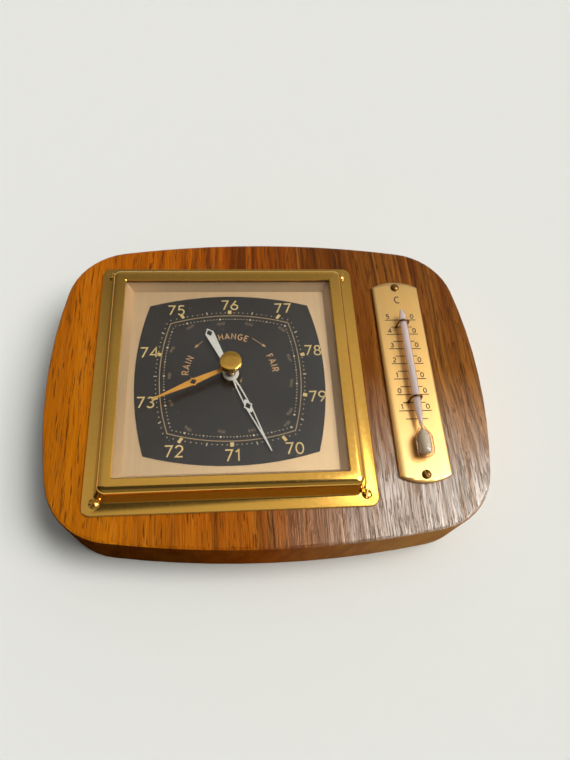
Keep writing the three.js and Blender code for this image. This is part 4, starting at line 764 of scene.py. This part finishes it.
LAMP_COLOR = (1.0, 0.99, 0.97)
LAMPS = {
    "key": dict(direction=Vector((0.74, -1.0, -0.06)), strength=1.95, angle=radians(32)),
    "back": dict(direction=Vector((0.15, 1.0, 0.25)), strength=1.8, angle=radians(110)),
}
ROOM_UPWARD = [(0.0, 0.30), (0.25, 0.26), (0.34, 0.10), (0.565, 0.08), (0.595, 0.72), (0.66, 0.72),
               (0.70, 0.52), (0.75, 0.48), (0.80, 0.26), (1.0, 0.46)]
ROOM_SIDEWAYS = [(0.18, 0.45), (0.42, 0.78), (0.56, 1.0), (0.60, 1.2)]
WINDOW_FROM = Vector((0.38, -0.91, 0.12))
WINDOW_GLOW = 7.5
WINDOW_EDGE = [(0.975, 0.0), (0.992, WINDOW_GLOW)]


def lamp(name, direction, strength, angle):
    data = bpy.data.lights.new(name, "SUN")
    data.energy = strength
    data.angle = angle
    data.color = LAMP_COLOR
    light = bpy.data.objects.new(name, data)
    bpy.context.scene.collection.objects.link(light)
    light.rotation_euler = (-direction).to_track_quat("-Z", "Y").to_euler()


def world_light():
    """A plain room, paler to the right, with one small window. The camera sees the page's colour."""
    world = bpy.data.worlds.new("room")
    bpy.context.scene.world = world
    world.use_nodes = True
    room = Nodes(world.node_tree)
    direction = room.node("ShaderNodeTexCoord").outputs["Generated"]
    upward = room.ramp(room.share(room.axis(direction, "Z"), -1.0, 1.0), ROOM_UPWARD)
    sideways = room.ramp(room.share(room.axis(direction, "X"), -1.0, 1.0), ROOM_SIDEWAYS)
    facing = room.node("ShaderNodeVectorMath", {0: direction, 1: WINDOW_FROM.normalized()},
                       operation="DOT_PRODUCT").outputs["Value"]
    walls = room.mix(1.0, upward, sideways, "MULTIPLY")
    light = room.mix(1.0, walls, room.ramp(facing, WINDOW_EDGE), "ADD")
    seen = room.node("ShaderNodeLightPath").outputs["Is Camera Ray"]
    room.feed(room.tree.nodes["Background"].inputs["Color"], room.mix(seen, light, PAGE_COLOR))


# Camera

LENS = 27.99
SENSOR_WIDTH = 36
CLIP_START = 0.01
CLIP_END = 20
CAMERA_AT = Vector((-0.01593, -0.2293, -0.1594))
CAMERA_RIGHT = Vector((0.9954, -0.0763, -0.0579))
CAMERA_FORWARD = Vector((0.0943, 0.8883, 0.4495))


def camera():
    """The photograph's view: from below the middle and a little from the left, close to the dial."""
    data = bpy.data.cameras.new("camera")
    data.lens = LENS
    data.sensor_width = SENSOR_WIDTH
    data.clip_start = CLIP_START
    data.clip_end = CLIP_END
    made = bpy.data.objects.new("camera", data)
    bpy.context.scene.collection.objects.link(made)
    back = -CAMERA_FORWARD.normalized()
    up = back.cross(CAMERA_RIGHT.normalized()).normalized()
    turned = Matrix((up.cross(back), up, back)).transposed().to_4x4()
    made.matrix_world = Matrix.Translation(CAMERA_AT) @ turned
    bpy.context.scene.camera = made


stage_wall()
for name, values in LAMPS.items():
    lamp(name, **values)
world_light()
camera()
bpy.context.scene.view_settings.view_transform = "Standard"
